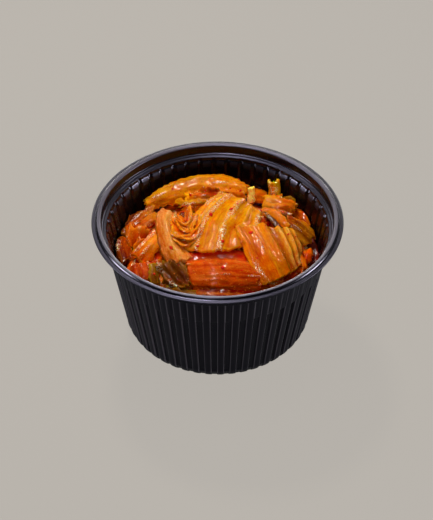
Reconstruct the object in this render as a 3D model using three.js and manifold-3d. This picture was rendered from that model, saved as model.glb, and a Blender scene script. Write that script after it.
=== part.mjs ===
// A round ribbed takeaway tub filled with stir-fried kimchi: a heap of cabbage pieces in red sauce.
// Millimetres, +Z up. The origin is under the middle of the tub's flat base.
import * as THREE from 'three';
import { mergeVertices } from 'three/addons/utils/BufferGeometryUtils.js';
import Module from 'manifold-3d';

const wasm = await Module();
wasm.setup();

// ---- driving dimensions ----
const gap = 0.3; // clear space between touching pieces
const slack = 0.08; // added to it round a faceted piece
const foldSlack = 0.4; // and the share of a piece's fold depth that is added too
const tub = {
  height: 56, // to the crest of the lip
  lipRadius: 50.5,
  lipEdgeHeight: 55, // the lip's outer bead
  lipThickness: 1,
  crestRadius: 47.6, // where the lip is highest
  beadWidth: 1.7, // the low outer part of the lip
  collarInside: 46.6, // the plain band between the lip and the ledge
  collarBottom: 50.8,
  ledgeInside: 45,
  ledgeTop: 51.7,
  ledgeFoot: 50.4,
  shoulderInside: 48.2, // the wall's inside leans in from here up to the ledge
  wallTopRadius: 45.95, // outside of the ribs under the collar
  wallFootRadius: 38.9, // outside of the ribs where the base corner starts
  cornerRadius: 8,
  thickness: 0.75,
  floorThickness: 1.2,
  lipFaces: 64,
  ribs: 48,
  ribFlank: 0.17, // one flank's share of a rib's spacing
  upperRelief: 0.35, // how far the panels lie behind the ribs, above and below the shoulder
  lowerRelief: 1,
  shoulderHeight: 38.5,
  grooveDepth: 0.6, // the channel inside, behind each rib
};
const sauceLevel = 34;
const heap = {
  shoulder: 29.5, // packed from wall to wall up to here
  footRadius: 37.5, // where the heap leaves the sauce
  crown: 40.4, // its hidden top, under the big leaves
  bumpHeight: 0.6,
  wallFaces: 32,
  domeFaces: 16,
};

// ---- finishes ----
const finish = (color, roughness) => new THREE.MeshStandardMaterial({ color, roughness, metalness: 0 });
const finishes = {
  tub: finish('#1b191d', 0.35),
  orange: finish('#d9701f', 0.3),
  yellow: finish('#dc9a2c', 0.3),
  stem: finish('#e3a06a', 0.3),
  red: finish('#b4380f', 0.3),
  green: finish('#3f3a0e', 0.35),
  olive: finish('#8d7a1c', 0.35),
  sauce: finish('#5a0d03', 0.12),
};

// ---- small tools ----

// A smooth curve through evenly spaced values, read at t from 0 to 1 (Catmull-Rom, straight past its ends).
function through(values, t) {
  const last = values.length - 1;
  if (last === 0) return values[0];
  const i = Math.min(Math.floor(t * last), last - 1);
  const f = t * last - i;
  const at = (k) => {
    if (k < 0) return 2 * values[0] - values[1];
    if (k > last) return 2 * values[last] - values[last - 1];
    return values[k];
  };
  const [a, b, c, d] = [at(i - 1), at(i), at(i + 1), at(i + 2)];
  return 0.5 * (2 * b + (c - a) * f + (2 * a - 5 * b + 4 * c - d) * f * f + (3 * b - a - 3 * c + d) * f ** 3);
}

function signedVolume(points, triangles) {
  let sum = 0;
  const [a, b, c] = [new THREE.Vector3(), new THREE.Vector3(), new THREE.Vector3()];
  for (let i = 0; i < triangles.length; i += 3) {
    a.fromArray(points, 3 * triangles[i]);
    b.fromArray(points, 3 * triangles[i + 1]);
    c.fromArray(points, 3 * triangles[i + 2]);
    sum += a.dot(b.cross(c)) / 6;
  }
  return sum;
}

// A closed BufferGeometry as a solid: shared vertices merged, faces turned out.
function toSolid(geometry) {
  geometry.deleteAttribute('normal');
  geometry.deleteAttribute('uv');
  const merged = mergeVertices(geometry, 1e-4);
  const points = Float32Array.from(merged.attributes.position.array);
  const index = merged.index.array;
  const triangles = [];
  for (let i = 0; i < index.length; i += 3) {
    const [a, b, c] = [index[i], index[i + 1], index[i + 2]];
    if (a !== b && b !== c && c !== a) triangles.push(a, b, c);
  }
  if (signedVolume(points, triangles) < 0) triangles.reverse();
  return new wasm.Manifold(new wasm.Mesh({ numProp: 3, vertProperties: points, triVerts: Uint32Array.from(triangles) }));
}

// The biggest body of a cut solid, so that no loose crumb is kept with it.
function mainBody(solid) {
  return solid.decompose().sort((a, b) => b.volume() - a.volume())[0];
}

function toMesh(name, solid, material) {
  const made = solid.getMesh();
  const geometry = new THREE.BufferGeometry();
  geometry.setAttribute('position', new THREE.BufferAttribute(Float32Array.from(made.vertProperties), 3));
  geometry.setIndex(Array.from(made.triVerts));
  geometry.computeBoundingBox();
  const centre = geometry.boundingBox.getCenter(new THREE.Vector3());
  geometry.translate(-centre.x, -centre.y, -centre.z);
  geometry.computeVertexNormals();
  const mesh = new THREE.Mesh(geometry, material);
  mesh.name = name;
  mesh.position.copy(centre);
  return mesh;
}

// A profile of [radius, height] points turned about the Z axis; shift(angle, column, radius, height) may move a point.
function turned(profile, columns, shift) {
  const geometry = new THREE.LatheGeometry(profile.map(([r, z]) => new THREE.Vector2(r, z)), columns);
  geometry.rotateX(Math.PI / 2);
  if (shift) {
    const position = geometry.attributes.position;
    for (let i = 0; i < position.count; i++) {
      const column = Math.floor(i / profile.length) % columns;
      const [radius, height] = profile[i % profile.length];
      const [angle, r, z] = shift((column / columns) * 2 * Math.PI, column, radius, height);
      position.setXYZ(i, r * Math.cos(angle), r * Math.sin(angle), z);
    }
  }
  return toSolid(geometry);
}

// ---- the tub ----

// Outside radius of the ribs at a height, above the rounded base corner.
function ribRadius(height) {
  const slope = (tub.wallTopRadius - tub.wallFootRadius) / (tub.collarBottom - tub.cornerRadius);
  return tub.wallFootRadius + slope * (height - tub.cornerRadius);
}

// Points of the rounded base corner, from the flat base up to the wall.
function cornerPoints(inset, steps) {
  const points = [];
  for (let k = 0; k <= steps; k++) {
    const angle = (k / steps) * (Math.PI / 2);
    const radius = tub.wallFootRadius - tub.cornerRadius + (tub.cornerRadius - inset) * Math.sin(angle);
    points.push([radius, tub.cornerRadius - (tub.cornerRadius - inset) * Math.cos(angle)]);
  }
  return points;
}

function tubOutside() {
  const shoulder = tub.shoulderHeight;
  const profile = [
    [0, 0],
    ...cornerPoints(0, 2),
    [ribRadius(shoulder - 0.4), shoulder - 0.4],
    [ribRadius(shoulder + 0.4), shoulder + 0.4],
    [ribRadius(tub.collarBottom + 0.5), tub.collarBottom + 0.5],
    [0, tub.collarBottom + 0.5],
  ];
  const columnPlaces = [0, tub.ribFlank, 1 - tub.ribFlank]; // a rib's crest, then both edges of the panel beside it
  return turned(profile, 3 * tub.ribs, (_, column, radius, height) => {
    const angle = ((Math.floor(column / 3) + columnPlaces[column % 3]) / tub.ribs) * 2 * Math.PI;
    const relief = height < shoulder ? tub.lowerRelief : tub.upperRelief;
    const fade = Math.min(height / tub.cornerRadius, 1); // the ribs die out into the flat base
    const behind = column % 3 > 0 && radius > 0 ? relief * fade : 0;
    return [angle, radius - behind, height];
  });
}

// Inside radius of the wall at a height, at the panels, where it is narrowest.
const panelInside = (height) => ribRadius(height) - tub.lowerRelief - tub.thickness;

// The tub's cavity, up through the collar and the inner edge of the lip, with a groove behind each rib.
function tubInside() {
  const { height, cornerRadius, wallFootRadius, floorThickness, collarInside, ledgeInside, shoulderInside } = tub;
  const mouth = tub.crestRadius - 0.1;
  const profile = [
    [0, floorThickness],
    [wallFootRadius - cornerRadius + 1, floorThickness],
    [panelInside(cornerRadius), cornerRadius],
    [panelInside(shoulderInside), shoulderInside],
    [ledgeInside, tub.ledgeFoot],
    [collarInside, tub.ledgeTop],
    [collarInside, height - 0.7],
    [mouth, height],
    [mouth, height + 1],
    [0, height + 1],
  ];
  return turned(profile, 2 * tub.ribs, (angle, column, radius, z) => {
    const inWall = z > cornerRadius - 1 && z < shoulderInside + 1;
    const groove = column % 2 === 0 && inWall ? tub.grooveDepth : 0;
    return [angle, radius + groove, z];
  });
}

// The collar and the lip above the ribbed wall, still filled.
function tubLip() {
  const { height, lipRadius, lipEdgeHeight, lipThickness, collarInside, collarBottom, thickness } = tub;
  const collarOutside = collarInside + thickness;
  return turned([
    [0, collarBottom],
    [collarOutside, collarBottom],
    [collarOutside, height - 1.8],
    [lipRadius, lipEdgeHeight - lipThickness / 2],
    [lipRadius, lipEdgeHeight + lipThickness / 2],
    [lipRadius - tub.beadWidth, height - 0.2],
    [tub.crestRadius, height],
    [0, height],
  ], tub.lipFaces);
}

const tubSolid = mainBody(tubOutside().add(tubLip()).subtract(tubInside()));

// What may be filled: the tub's cavity up to the given height, a gap clear of its wall and floor.
function fillSpace(top) {
  const { cornerRadius, wallFootRadius, floorThickness } = tub;
  return turned([
    [0, floorThickness + gap],
    [wallFootRadius - cornerRadius + 1 - 2 * gap, floorThickness + gap],
    [panelInside(cornerRadius) - gap, cornerRadius],
    [panelInside(top) - gap, top],
    [0, top],
  ], heap.wallFaces);
}

// ---- cabbage pieces ----

// A leaf or a stem is a strip swept along a short spine of [x, y, z] points.
//   width, roll, cup  values along the spine: the full width; the turn of its face, in degrees, towards its right;
//                     and the arc that the strip is bent to across its width, in degrees, edges down (minus: up)
//   thickness         in the middle and at the edges
//   pleats, depth     folds that run along the strip: how many, and how high they stand
//   slant             how far the right edge runs ahead of the middle at the start and at the end, and the left behind
//   bulge             how far the middle of the end runs ahead of both edges
//   face              the way its face looks before it is rolled
//   steps             faces along the strip; across it there are two for each pleat, or `across`
function strip(spec, grow = 0) {
  const { spine, width, roll = [0], cup = [0], thickness, pleats = 0, depth = 0, slant = [0, 0] } = spec;
  const { bulge = 0 } = spec;
  const { face = [0, 0, 1], steps = 5, across = Math.max(2 * pleats, 4) } = spec;
  const point = (t) => new THREE.Vector3(...[0, 1, 2].map((k) => through(spine.map((p) => p[k]), t)));
  const radians = THREE.MathUtils.degToRad;
  const positions = [];
  for (let i = 0; i <= steps; i++) {
    const t = i / steps;
    const along = point(Math.min(t + 0.01, 1)).sub(point(Math.max(t - 0.01, 0))).normalize();
    const sideways = along.clone().cross(new THREE.Vector3(...face)).normalize();
    const outward = sideways.clone().cross(along);
    const turn = radians(through(roll, t));
    const normal = outward.clone().multiplyScalar(Math.cos(turn)).addScaledVector(sideways, Math.sin(turn));
    const right = sideways.clone().multiplyScalar(Math.cos(turn)).addScaledVector(outward, -Math.sin(turn));
    const centre = point(t).addScaledVector(along, (i === 0 ? -grow : 0) + (i === steps ? grow : 0));
    const reach = through(width, t) / 2 + grow;
    const bend = radians(through(cup, t)) / 2;
    const upper = [];
    const lower = [];
    for (let j = 0; j <= across; j++) {
      const v = (2 * j) / across - 1;
      const angle = v * bend;
      const radius = Math.abs(bend) > 1e-3 ? reach / bend : 0;
      const place = centre.clone()
        .addScaledVector(right, radius ? radius * Math.sin(angle) : v * reach)
        .addScaledVector(normal, radius ? radius * (Math.cos(angle) - 1) : 0)
        .addScaledVector(along, v * THREE.MathUtils.lerp(slant[0], slant[1], t) - v * v * t * t * bulge);
      const out = normal.clone().multiplyScalar(Math.cos(angle)).addScaledVector(right, Math.sin(angle));
      const fold = pleats ? -depth * Math.cos(Math.PI * pleats * (v + 1)) : 0;
      const half = THREE.MathUtils.lerp(thickness[0], thickness[1], v * v) / 2 + grow;
      upper.push(place.clone().addScaledVector(out, fold + half));
      lower.unshift(place.clone().addScaledVector(out, fold - half));
    }
    positions.push([...upper, ...lower]);
  }
  return toSolid(skin(positions));
}

// The room that a piece needs in the heap and the sauce: a plainer strip, a gap larger all round.
function cutter(spec) {
  const { depth = 0, steps = 5 } = spec;
  const plain = { ...spec, pleats: 0, across: 4, steps: Math.max(steps - 1, 3) };
  return strip(plain, gap + 5 * slack + depth);
}

// A closed skin over loops of points: sides between neighbouring loops, and both ends filled in strips.
function skin(loops) {
  const size = loops[0].length;
  const index = [];
  for (let i = 0; i < loops.length - 1; i++) {
    for (let j = 0; j < size; j++) {
      const [a, b] = [i * size + j, i * size + ((j + 1) % size)];
      index.push(a, b, a + size, b, b + size, a + size);
    }
  }
  const fillEnd = (start, turnedOver) => {
    for (let j = 0; j < size / 2 - 1; j++) {
      const [a, b, c, d] = [start + j, start + j + 1, start + size - 2 - j, start + size - 1 - j];
      index.push(...(turnedOver ? [a, b, c, a, c, d] : [a, c, b, a, d, c]));
    }
  };
  fillEnd(0, false);
  fillEnd((loops.length - 1) * size, true);
  const geometry = new THREE.BufferGeometry();
  geometry.setAttribute('position', new THREE.Float32BufferAttribute(loops.flat().flatMap((p) => p.toArray()), 3));
  geometry.setIndex(index);
  return geometry;
}

// Every piece that lies in the open, from the top of the heap down: a lower piece is cut round the ones above it.
const pieces = {
  right_leaf: {
    finish: 'yellow', pleats: 5, depth: 0.9, steps: 6, thickness: [1.8, 1.2], bulge: 1.5, slant: [3, 4],
    spine: [[20, 3, 46.4], [22.4, -3.6, 45.4], [25, -10.6, 43], [28.4, -17, 39.2]],
    width: [25, 26, 27, 26], roll: [-14, -17, -20, -22], cup: [24, 36, 44, 40],
  },
  centre_leaf: {
    finish: 'yellow', pleats: 5, depth: 1.1, steps: 5, thickness: [1.8, 1.2], bulge: 7.5, slant: [-1, 4],
    spine: [[10, 21, 46], [7, 14, 47.9], [2.6, 3, 48.4], [-1.4, -11.5, 46.2]],
    width: [21, 25, 31, 34], roll: [-6, -4, 0, 4], cup: [24, 34, 44, 46],
  },
  heart_stem: {
    finish: 'stem', steps: 6, thickness: [3, 1.6],
    spine: [[-21, 13.2, 45.6], [-21.8, 6.4, 46.2], [-19.8, -2, 45.8], [-16.8, -8.2, 44.6], [-13.6, -13.4, 43]],
    width: [6, 8, 9.5, 11, 10], roll: [-38, -42, -40, -26, -6], cup: [30],
  },
  heart_fold_inner: {
    finish: 'orange', steps: 7, across: 2, thickness: [1.4, 1],
    spine: [[-16.6, 15.5, 46.6], [-15.6, 7.5, 47], [-13, 3.5, 47], [-11, 8, 47], [-10.6, 16, 46.4]],
    width: [4, 4.6, 5, 4.6, 4], roll: [-80, -78, -76, -78, -80],
  },
  heart_fold_middle: {
    finish: 'orange', steps: 8, across: 2, thickness: [1.4, 1],
    spine: [[-19, 15, 45.8], [-18, 4.5, 46.4], [-13.4, -1.2, 46.8], [-8.6, 4, 47], [-7.6, 15, 46.4]],
    width: [4, 5, 5.4, 5, 4], roll: [-72, -70, -66, -70, -76],
  },
  heart_fold_outer: {
    finish: 'orange', steps: 8, across: 2, thickness: [1.5, 1],
    spine: [[-20, 7, 45], [-18.4, -2, 45.6], [-13, -6.2, 46], [-8, -2.5, 46.6], [-5.5, 6, 46.6]],
    width: [4, 5, 6, 5.4, 4], roll: [-64, -60, -56, -62, -70],
  },
  back_leaf: {
    finish: 'yellow', pleats: 2, depth: 0.4, steps: 7, thickness: [2.4, 1.4],
    spine: [[-30, 24.5, 41.2], [-20.5, 28.4, 43.6], [-9, 31.2, 45.2], [2.5, 31.4, 45.4], [12.5, 28.4, 44.6]],
    width: [4, 9.5, 12.5, 12.5, 7.5], roll: [30, 38, 36, 34, 32], cup: [90, 100, 86, 80, 70],
  },
  front_stem: {
    finish: 'red', pleats: 3, depth: 0.55, steps: 5, thickness: [3.6, 2.2], slant: [1.5, -2],
    spine: [[-11.4, -20.6, 43], [-1.5, -21.4, 44.2], [8, -21.4, 43.8], [17.6, -20.6, 41.4]],
    width: [11.5, 13, 12.5, 10], roll: [20, 20, 20, 16], cup: [24],
  },
  green_leaf: {
    finish: 'green', steps: 4, thickness: [1.8, 1.2],
    spine: [[-21.5, -13.5, 43.4], [-17.5, -18, 43], [-14.2, -22, 42.2], [-11.4, -25.4, 40.8]],
    width: [8, 12, 12, 6], roll: [0, 6, 8, 10], cup: [70, 90, 84, 70],
  },
  green_stalk: {
    finish: 'olive', steps: 4, across: 3, thickness: [2.4, 1.4],
    spine: [[-25.4, -13.6, 42.6], [-25.3, -18.4, 41.6], [-24.6, -23, 39.6]],
    width: [3.6, 4.4, 4.6], roll: [-20], cup: [60],
  },
  green_roll: {
    finish: 'olive', steps: 5, across: 3, thickness: [2.8, 1.2],
    spine: [[-20.5, -25.5, 39.6], [-15, -27.8, 39.8], [-9.5, -29, 39.8], [-4, -30, 39.4]],
    width: [4, 4.6, 4.2, 3], roll: [24], cup: [80],
  },
  left_twist: {
    finish: 'orange', pleats: 2, depth: 0.6, steps: 5, thickness: [1.9, 1.2],
    spine: [[-32.4, -8, 39.6], [-29, -5, 41.6], [-25.8, -1, 43.4], [-23.6, 3, 43.4]],
    width: [8.5, 9.5, 9, 7], roll: [14, 10, 6, 10], cup: [40],
  },
  left_cup: {
    finish: 'orange', steps: 5, thickness: [1.8, 1.1],
    spine: [[-33.6, 12.4, 39.2], [-33.8, 7.5, 39.2], [-33.6, 2.6, 38.8], [-33, -1.4, 38.6]],
    width: [11, 12, 10, 7], roll: [0], cup: [-140, -130, -80, -20],
  },
  left_chunk: {
    finish: 'orange', steps: 4, thickness: [3.4, 1.8],
    spine: [[-38.6, 8.2, 36.4], [-38.4, 3, 37.2], [-37.2, -2.4, 37.4], [-35.6, -6.8, 36.8]],
    width: [6, 8.6, 8.6, 6], roll: [-16], cup: [70],
  },
  left_slab: {
    finish: 'orange', pleats: 3, depth: 0.5, steps: 4, thickness: [2.4, 1.5],
    spine: [[-30.2, -19.6, 37.4], [-31, -15, 38.6], [-31.4, -10.5, 39]],
    width: [12, 13, 11], roll: [-14], cup: [50],
  },
  left_ridge: {
    finish: 'orange', pleats: 2, depth: 0.5, steps: 5, thickness: [1.9, 1.2],
    spine: [[-26.4, 21.4, 41], [-30.6, 19, 40], [-34.8, 15.4, 38.4], [-38.6, 10.6, 36]],
    width: [8, 10, 9.5, 6], roll: [-12, -10, -8, -6], cup: [80],
  },
  right_strip: {
    finish: 'orange', steps: 4, thickness: [1.8, 1.2],
    spine: [[18.6, 19.5, 43], [22.4, 15.6, 44], [26.4, 11.6, 43], [28.6, 8.6, 41.8]],
    width: [4.5, 5.6, 5.6, 4], roll: [26], cup: [50],
  },
  green_strip: {
    finish: 'green', steps: 3, across: 2, thickness: [1.1, 0.9],
    spine: [[19.8, 12.4, 45.8], [23, 8.4, 45.6], [26.2, 4.4, 44.2]],
    width: [2.2, 3, 3], roll: [16],
  },
  right_slab: {
    finish: 'yellow', pleats: 2, depth: 0.4, steps: 4, thickness: [2.4, 1.5],
    spine: [[27.6, 13, 41.2], [32, 11, 40.4], [35.6, 8.8, 38.8], [38.6, 6.6, 36.6]],
    width: [9, 10, 9.5, 8], roll: [14], cup: [44],
  },
  right_lump: {
    finish: 'orange', pleats: 3, depth: 0.7, steps: 4, thickness: [2.2, 1.4],
    spine: [[19.4, 23.8, 42], [23.4, 22.4, 43.6], [27.8, 21.4, 43], [31.6, 20.4, 41]],
    width: [9, 12, 11.5, 8], roll: [16], cup: [80],
  },
  right_chunk: {
    finish: 'orange', steps: 4, thickness: [3, 1.8],
    spine: [[30.8, 24.6, 37.6], [33.6, 22, 38.6], [36.2, 18.6, 38.4], [38.2, 15.2, 37]],
    width: [5, 6.6, 6.6, 4.5], roll: [14], cup: [60],
  },
  right_curl: {
    finish: 'yellow', face: [0, -1, 0.3], steps: 4, thickness: [1.7, 1.2],
    spine: [[23.4, 30.6, 38.4], [24, 31.2, 41.6], [24.2, 31, 44.4], [23.6, 30.4, 46.8]],
    width: [7, 7, 7.4, 6], cup: [120, 140, 150, 120],
  },
  olive_curl: {
    finish: 'olive', steps: 4, across: 3, thickness: [1.6, 1],
    spine: [[29.2, 28.4, 41.6], [31, 27.6, 43.6], [32.6, 26, 43.2], [33.4, 24.2, 41.8]],
    width: [3, 4.2, 4.2, 3], roll: [20], cup: [90],
  },
  back_stub: {
    finish: 'stem', face: [0, -1, 0.3], steps: 3, across: 2, thickness: [2.2, 1.4],
    spine: [[14, 27.2, 40.6], [14.2, 28, 43.6], [14.3, 28.2, 47]],
    width: [2.6, 2.8, 2.4],
  },
  back_flap: {
    finish: 'orange', steps: 4, thickness: [1.8, 1.2],
    spine: [[12.4, 33.4, 38.8], [16.6, 33.6, 39.6], [20.6, 32.8, 39]],
    width: [7, 8, 6], roll: [14], cup: [50],
  },
  back_crinkle: {
    finish: 'olive', pleats: 2, depth: 0.5, steps: 4, thickness: [1.8, 1.2],
    spine: [[-14.6, 25, 42.2], [-8.6, 24.6, 43.4], [-2, 25, 43.6], [3, 26, 43]],
    width: [6, 7, 7, 6], roll: [18], cup: [30],
  },
  tucked_leaf: {
    finish: 'red', steps: 3, thickness: [1.8, 1.2],
    spine: [[-13, -12.6, 41.4], [-3, -12.4, 42], [7, -12.2, 42.2], [15.6, -13.6, 41]],
    width: [8, 9.5, 9.5, 8], roll: [24], cup: [20],
  },
  front_under_stem: {
    finish: 'red', steps: 3, thickness: [2.8, 1.6],
    spine: [[-8.6, -28.6, 39.2], [-1, -30, 39.6], [7, -30.2, 39.4], [15, -28.4, 38.2]],
    width: [6, 7, 7, 5], roll: [24], cup: [40],
  },
};

// ---- heap and sauce ----

// The packed heap under the pieces: from wall to wall low down, and a bumpy dome above.
function heapSolid(grow = 0) {
  const low = tub.floorThickness + gap - grow;
  const foot = heap.footRadius + grow;
  const crown = heap.crown + grow;
  const profile = [[0, low], [tub.lipRadius, low], [tub.lipRadius, heap.shoulder + grow], [foot, heap.shoulder + grow]];
  const domeSteps = 3;
  for (let k = 0; k < domeSteps; k++) {
    const angle = (k / domeSteps) * (Math.PI / 2);
    profile.push([foot * Math.cos(angle), sauceLevel + (crown - sauceLevel) * Math.sin(angle)]);
  }
  profile.push([0, crown]);
  return turned(profile, heap.domeFaces, (angle, column, radius, height) => {
    const onDome = height > sauceLevel && radius > 0;
    const bump = onDome ? heap.bumpHeight * Math.sin(5 * angle + radius / 4) * Math.cos(3 * angle - radius / 6) : 0;
    return [angle, radius, height + bump];
  });
}

function buildContents() {
  const meshes = [];
  const room = fillSpace(tub.collarBottom);
  const above = [];
  for (const [name, spec] of Object.entries(pieces)) {
    const solid = above.reduce((rest, grown) => rest.subtract(grown), strip(spec).intersect(room));
    meshes.push(toMesh(name, mainBody(solid), finishes[spec.finish]));
    above.push(strip(spec, gap + slack + (spec.depth ?? 0) * foldSlack));
  }
  const covered = wasm.Manifold.union(Object.values(pieces).map(cutter));
  const bed = mainBody(heapSolid().intersect(room).subtract(covered));
  meshes.push(toMesh('kimchi_bed', bed, finishes.red));
  const sauce = mainBody(fillSpace(sauceLevel).subtract(heapSolid(gap)).subtract(covered));
  meshes.push(toMesh('sauce', sauce, finishes.sauce));
  return meshes;
}

const bowlOfKimchi = new THREE.Group();
bowlOfKimchi.name = 'bowl_of_kimchi';
bowlOfKimchi.add(toMesh('tub', tubSolid, finishes.tub));
const contents = new THREE.Group();
contents.add(...buildContents());
bowlOfKimchi.add(contents);

export default bowlOfKimchi;
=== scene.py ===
# A takeaway tub of stir-fried kimchi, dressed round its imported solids. Lengths in the code are millimetres.
import math
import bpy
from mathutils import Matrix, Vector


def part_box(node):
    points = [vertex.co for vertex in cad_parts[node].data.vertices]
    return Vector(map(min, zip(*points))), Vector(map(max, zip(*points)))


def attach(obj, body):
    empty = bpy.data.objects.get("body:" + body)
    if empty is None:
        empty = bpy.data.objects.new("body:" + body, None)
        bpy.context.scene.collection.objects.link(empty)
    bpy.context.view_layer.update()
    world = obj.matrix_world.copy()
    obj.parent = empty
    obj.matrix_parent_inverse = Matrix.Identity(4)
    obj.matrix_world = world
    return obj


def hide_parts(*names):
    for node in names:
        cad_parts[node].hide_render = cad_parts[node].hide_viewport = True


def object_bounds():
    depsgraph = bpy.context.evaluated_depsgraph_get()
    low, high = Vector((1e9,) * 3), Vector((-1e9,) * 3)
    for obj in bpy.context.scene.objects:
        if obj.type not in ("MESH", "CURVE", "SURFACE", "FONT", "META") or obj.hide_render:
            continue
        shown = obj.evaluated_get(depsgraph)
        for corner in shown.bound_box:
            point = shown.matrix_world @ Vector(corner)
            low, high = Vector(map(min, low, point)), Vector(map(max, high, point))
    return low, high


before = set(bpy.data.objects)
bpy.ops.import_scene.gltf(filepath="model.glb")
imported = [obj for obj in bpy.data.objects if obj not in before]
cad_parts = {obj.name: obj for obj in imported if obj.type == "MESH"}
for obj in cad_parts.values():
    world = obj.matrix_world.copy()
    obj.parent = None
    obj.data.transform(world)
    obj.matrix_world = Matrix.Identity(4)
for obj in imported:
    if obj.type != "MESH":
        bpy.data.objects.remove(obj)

from types import SimpleNamespace
import bpy
import numpy as np
from mathutils import Vector
from mathutils.bvhtree import BVHTree

mm = 0.001
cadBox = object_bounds()
lipWidth = (cadBox[1][0] - cadBox[0][0]) / mm
lipHeight = cadBox[1][2] / mm


# camera, light and floor

view = {
    "elevation": 41.6, "distance": 6 * lipWidth, "lens": 102, "sensor": 36,
    "aimSide": -0.4, "aimHeight": 0.575 * lipHeight,
}
lamps = {  # place and size in lip widths from the middle of the base, watts, colour, and what it is for
    "window": ((-1.1, 3.0, 4.6), (0.8, 0.8), 2.45, "#fff4e4", "light"),
    "strip": ((-0.5, 0.6, 5.2), (0.35, 5.0), 4.0, "#fffcf6", "shine"),
    "backLeft": ((-3.4, 5.4, 3.2), (2.0, 0.9), 0.7, "#fffcf6", "shine"),
    "backRight": ((3.4, 5.4, 3.2), (2.0, 0.9), 0.7, "#fffcf6", "shine"),
    "backLow": ((0, 7.0, 1.0), (7.0, 0.7), 4.0, "#fffcf6", "shine"),
    "leftLow": ((-6.0, -0.6, 1.1), (2.2, 1.2), 4.5, "#fffcf6", "shine"),
    "rightLow": ((6.0, -0.6, 1.1), (2.2, 1.2), 4.5, "#fffcf6", "shine"),
    "front": ((0.3, -4.5, 3.4), (3.0, 3.0), 0.8, "#fff4e4", "light"),
    "overhead": ((-0.5, 0.2, 6.0), (3.0, 3.0), 0.7, "#fffaf2", "light"),
}
room = {
    "floor": "#bab5ae", "shadow": 0.08, "size": 12,
    "sky": [(0.48, 0.12), (0.53, 0.06), (0.95, 0.04)],  # height, from 0 below to 1 above, and its light
}


def rgb(code):  # a screen colour such as "#d08030" as linear light
    parts = [int(code[k:k + 2], 16) / 255 for k in (1, 3, 5)]
    return np.array([p / 12.92 if p <= 0.04045 else ((p + 0.055) / 1.055) ** 2.4 for p in parts])


def rgba(code):
    return (*rgb(code), 1.0)


def putInScene(name, data):  # put a lamp, the camera or a mesh in the scene
    thing = bpy.data.objects.new(name, data)
    bpy.context.collection.objects.link(thing)
    return thing


def lookAt(thing, target):
    thing.rotation_euler = (Vector(target) - thing.location).to_track_quat("-Z", "Y").to_euler()


def makeCamera():
    data = bpy.data.cameras.new("camera")
    data.lens = view["lens"]
    data.sensor_width = view["sensor"]
    camera = putInScene("camera", data)
    aim = Vector((view["aimSide"], 0, view["aimHeight"])) * mm
    angle = math.radians(view["elevation"])
    camera.location = aim + Vector((0, -math.cos(angle), math.sin(angle))) * view["distance"] * mm
    lookAt(camera, aim)
    bpy.context.scene.camera = camera


def makeLamps():
    for name, (spot, size, power, colour, use) in lamps.items():
        data = bpy.data.lights.new(name, "AREA")
        data.shape = "RECTANGLE"
        data.size, data.size_y = [side * lipWidth * mm for side in size]
        data.energy = power
        data.color = rgb(colour)
        light = putInScene(name, data)
        light.location = Vector(spot) * lipWidth * mm
        light.visible_diffuse = use == "light"
        light.visible_glossy = use == "shine"
        lookAt(light, (light.location.x if name == "strip" else 0, 0, lipHeight * mm / 2))


# shader maths

class Wire:  # an output socket that can be written into sums
    def __init__(self, paint, socket):
        self.paint = paint
        self.socket = socket

    def maths(self, operation, *values):
        return self.paint.node("Math", {"operation": operation}, dict(enumerate(values)))

    def __add__(self, other):
        return self.maths("ADD", self, other)

    def __sub__(self, other):
        return self.maths("SUBTRACT", self, other)

    def __rsub__(self, other):
        return self.maths("SUBTRACT", other, self)

    def __mul__(self, other):
        return self.maths("MULTIPLY", self, other)

    __radd__ = __add__
    __rmul__ = __mul__


class Paint:  # a material or the room's light, and the one way that nodes are added to it
    def __init__(self, name, kind="materials"):
        self.owner = getattr(bpy.data, kind).new(name)
        self.owner.use_nodes = True
        self.tree = self.owner.node_tree
        self.tree.nodes.clear()

    def node(self, kind, settings=None, sockets=None, output=0):
        made = self.tree.nodes.new("ShaderNode" + kind)
        for key, value in (settings or {}).items():
            if key == "stops":
                self.setStops(made.color_ramp.elements, value)
            else:
                setattr(made, key, value)
        for key, value in (sockets or {}).items():
            if isinstance(value, Wire):
                self.tree.links.new(value.socket, made.inputs[key])
            else:
                made.inputs[key].default_value = value
        return Wire(self, made.outputs[output]) if len(made.outputs) else made

    def setStops(self, elements, stops):
        while len(elements) < len(stops):
            elements.new(1.0)
        for element, (place, colour) in zip(elements, stops):
            element.position = place
            element.color = colour

    def mix(self, mask, low, high, way="MIX"):
        settings = {"data_type": "RGBA", "blend_type": way, "clamp_factor": True}
        return self.node("Mix", settings, {0: mask, 6: low, 7: high}, 2)

    def step(self, value, low, high):
        return self.node("MapRange", {"interpolation_type": "SMOOTHSTEP"}, {0: value, 1: low, 2: high})

    def stretch(self, vector, scale):
        return self.node("VectorMath", {"operation": "MULTIPLY"}, {0: vector, 1: scale})

    def noise(self, where, scale, detail=3.0, roughness=0.5):
        sockets = {"Vector": where, "Scale": scale, "Detail": detail, "Roughness": roughness}
        return self.node("TexNoise", {}, sockets)

    def stored(self, name, output):  # what the mesh keeps at its points: 0 a colour, 1 a vector, 2 a number
        return self.node("Attribute", {"attribute_name": name}, {}, output)

    def bump(self, height, strength, distance, under=None):
        sockets = {"Height": height, "Strength": strength, "Distance": distance * mm}
        if under:
            sockets["Normal"] = under
        return self.node("Bump", {}, sockets)

    def places(self):  # where a point is, in millimetres
        where = self.node("TexCoord", {}, {}, 3)
        return self.stretch(where, (1 / mm, 1 / mm, 1 / mm))

    def finish(self, **sockets):
        named = {key.replace("_", " "): value for key, value in sockets.items()}
        self.node("OutputMaterial", {}, {"Surface": self.node("BsdfPrincipled", {}, named)})
        return self.owner


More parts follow.
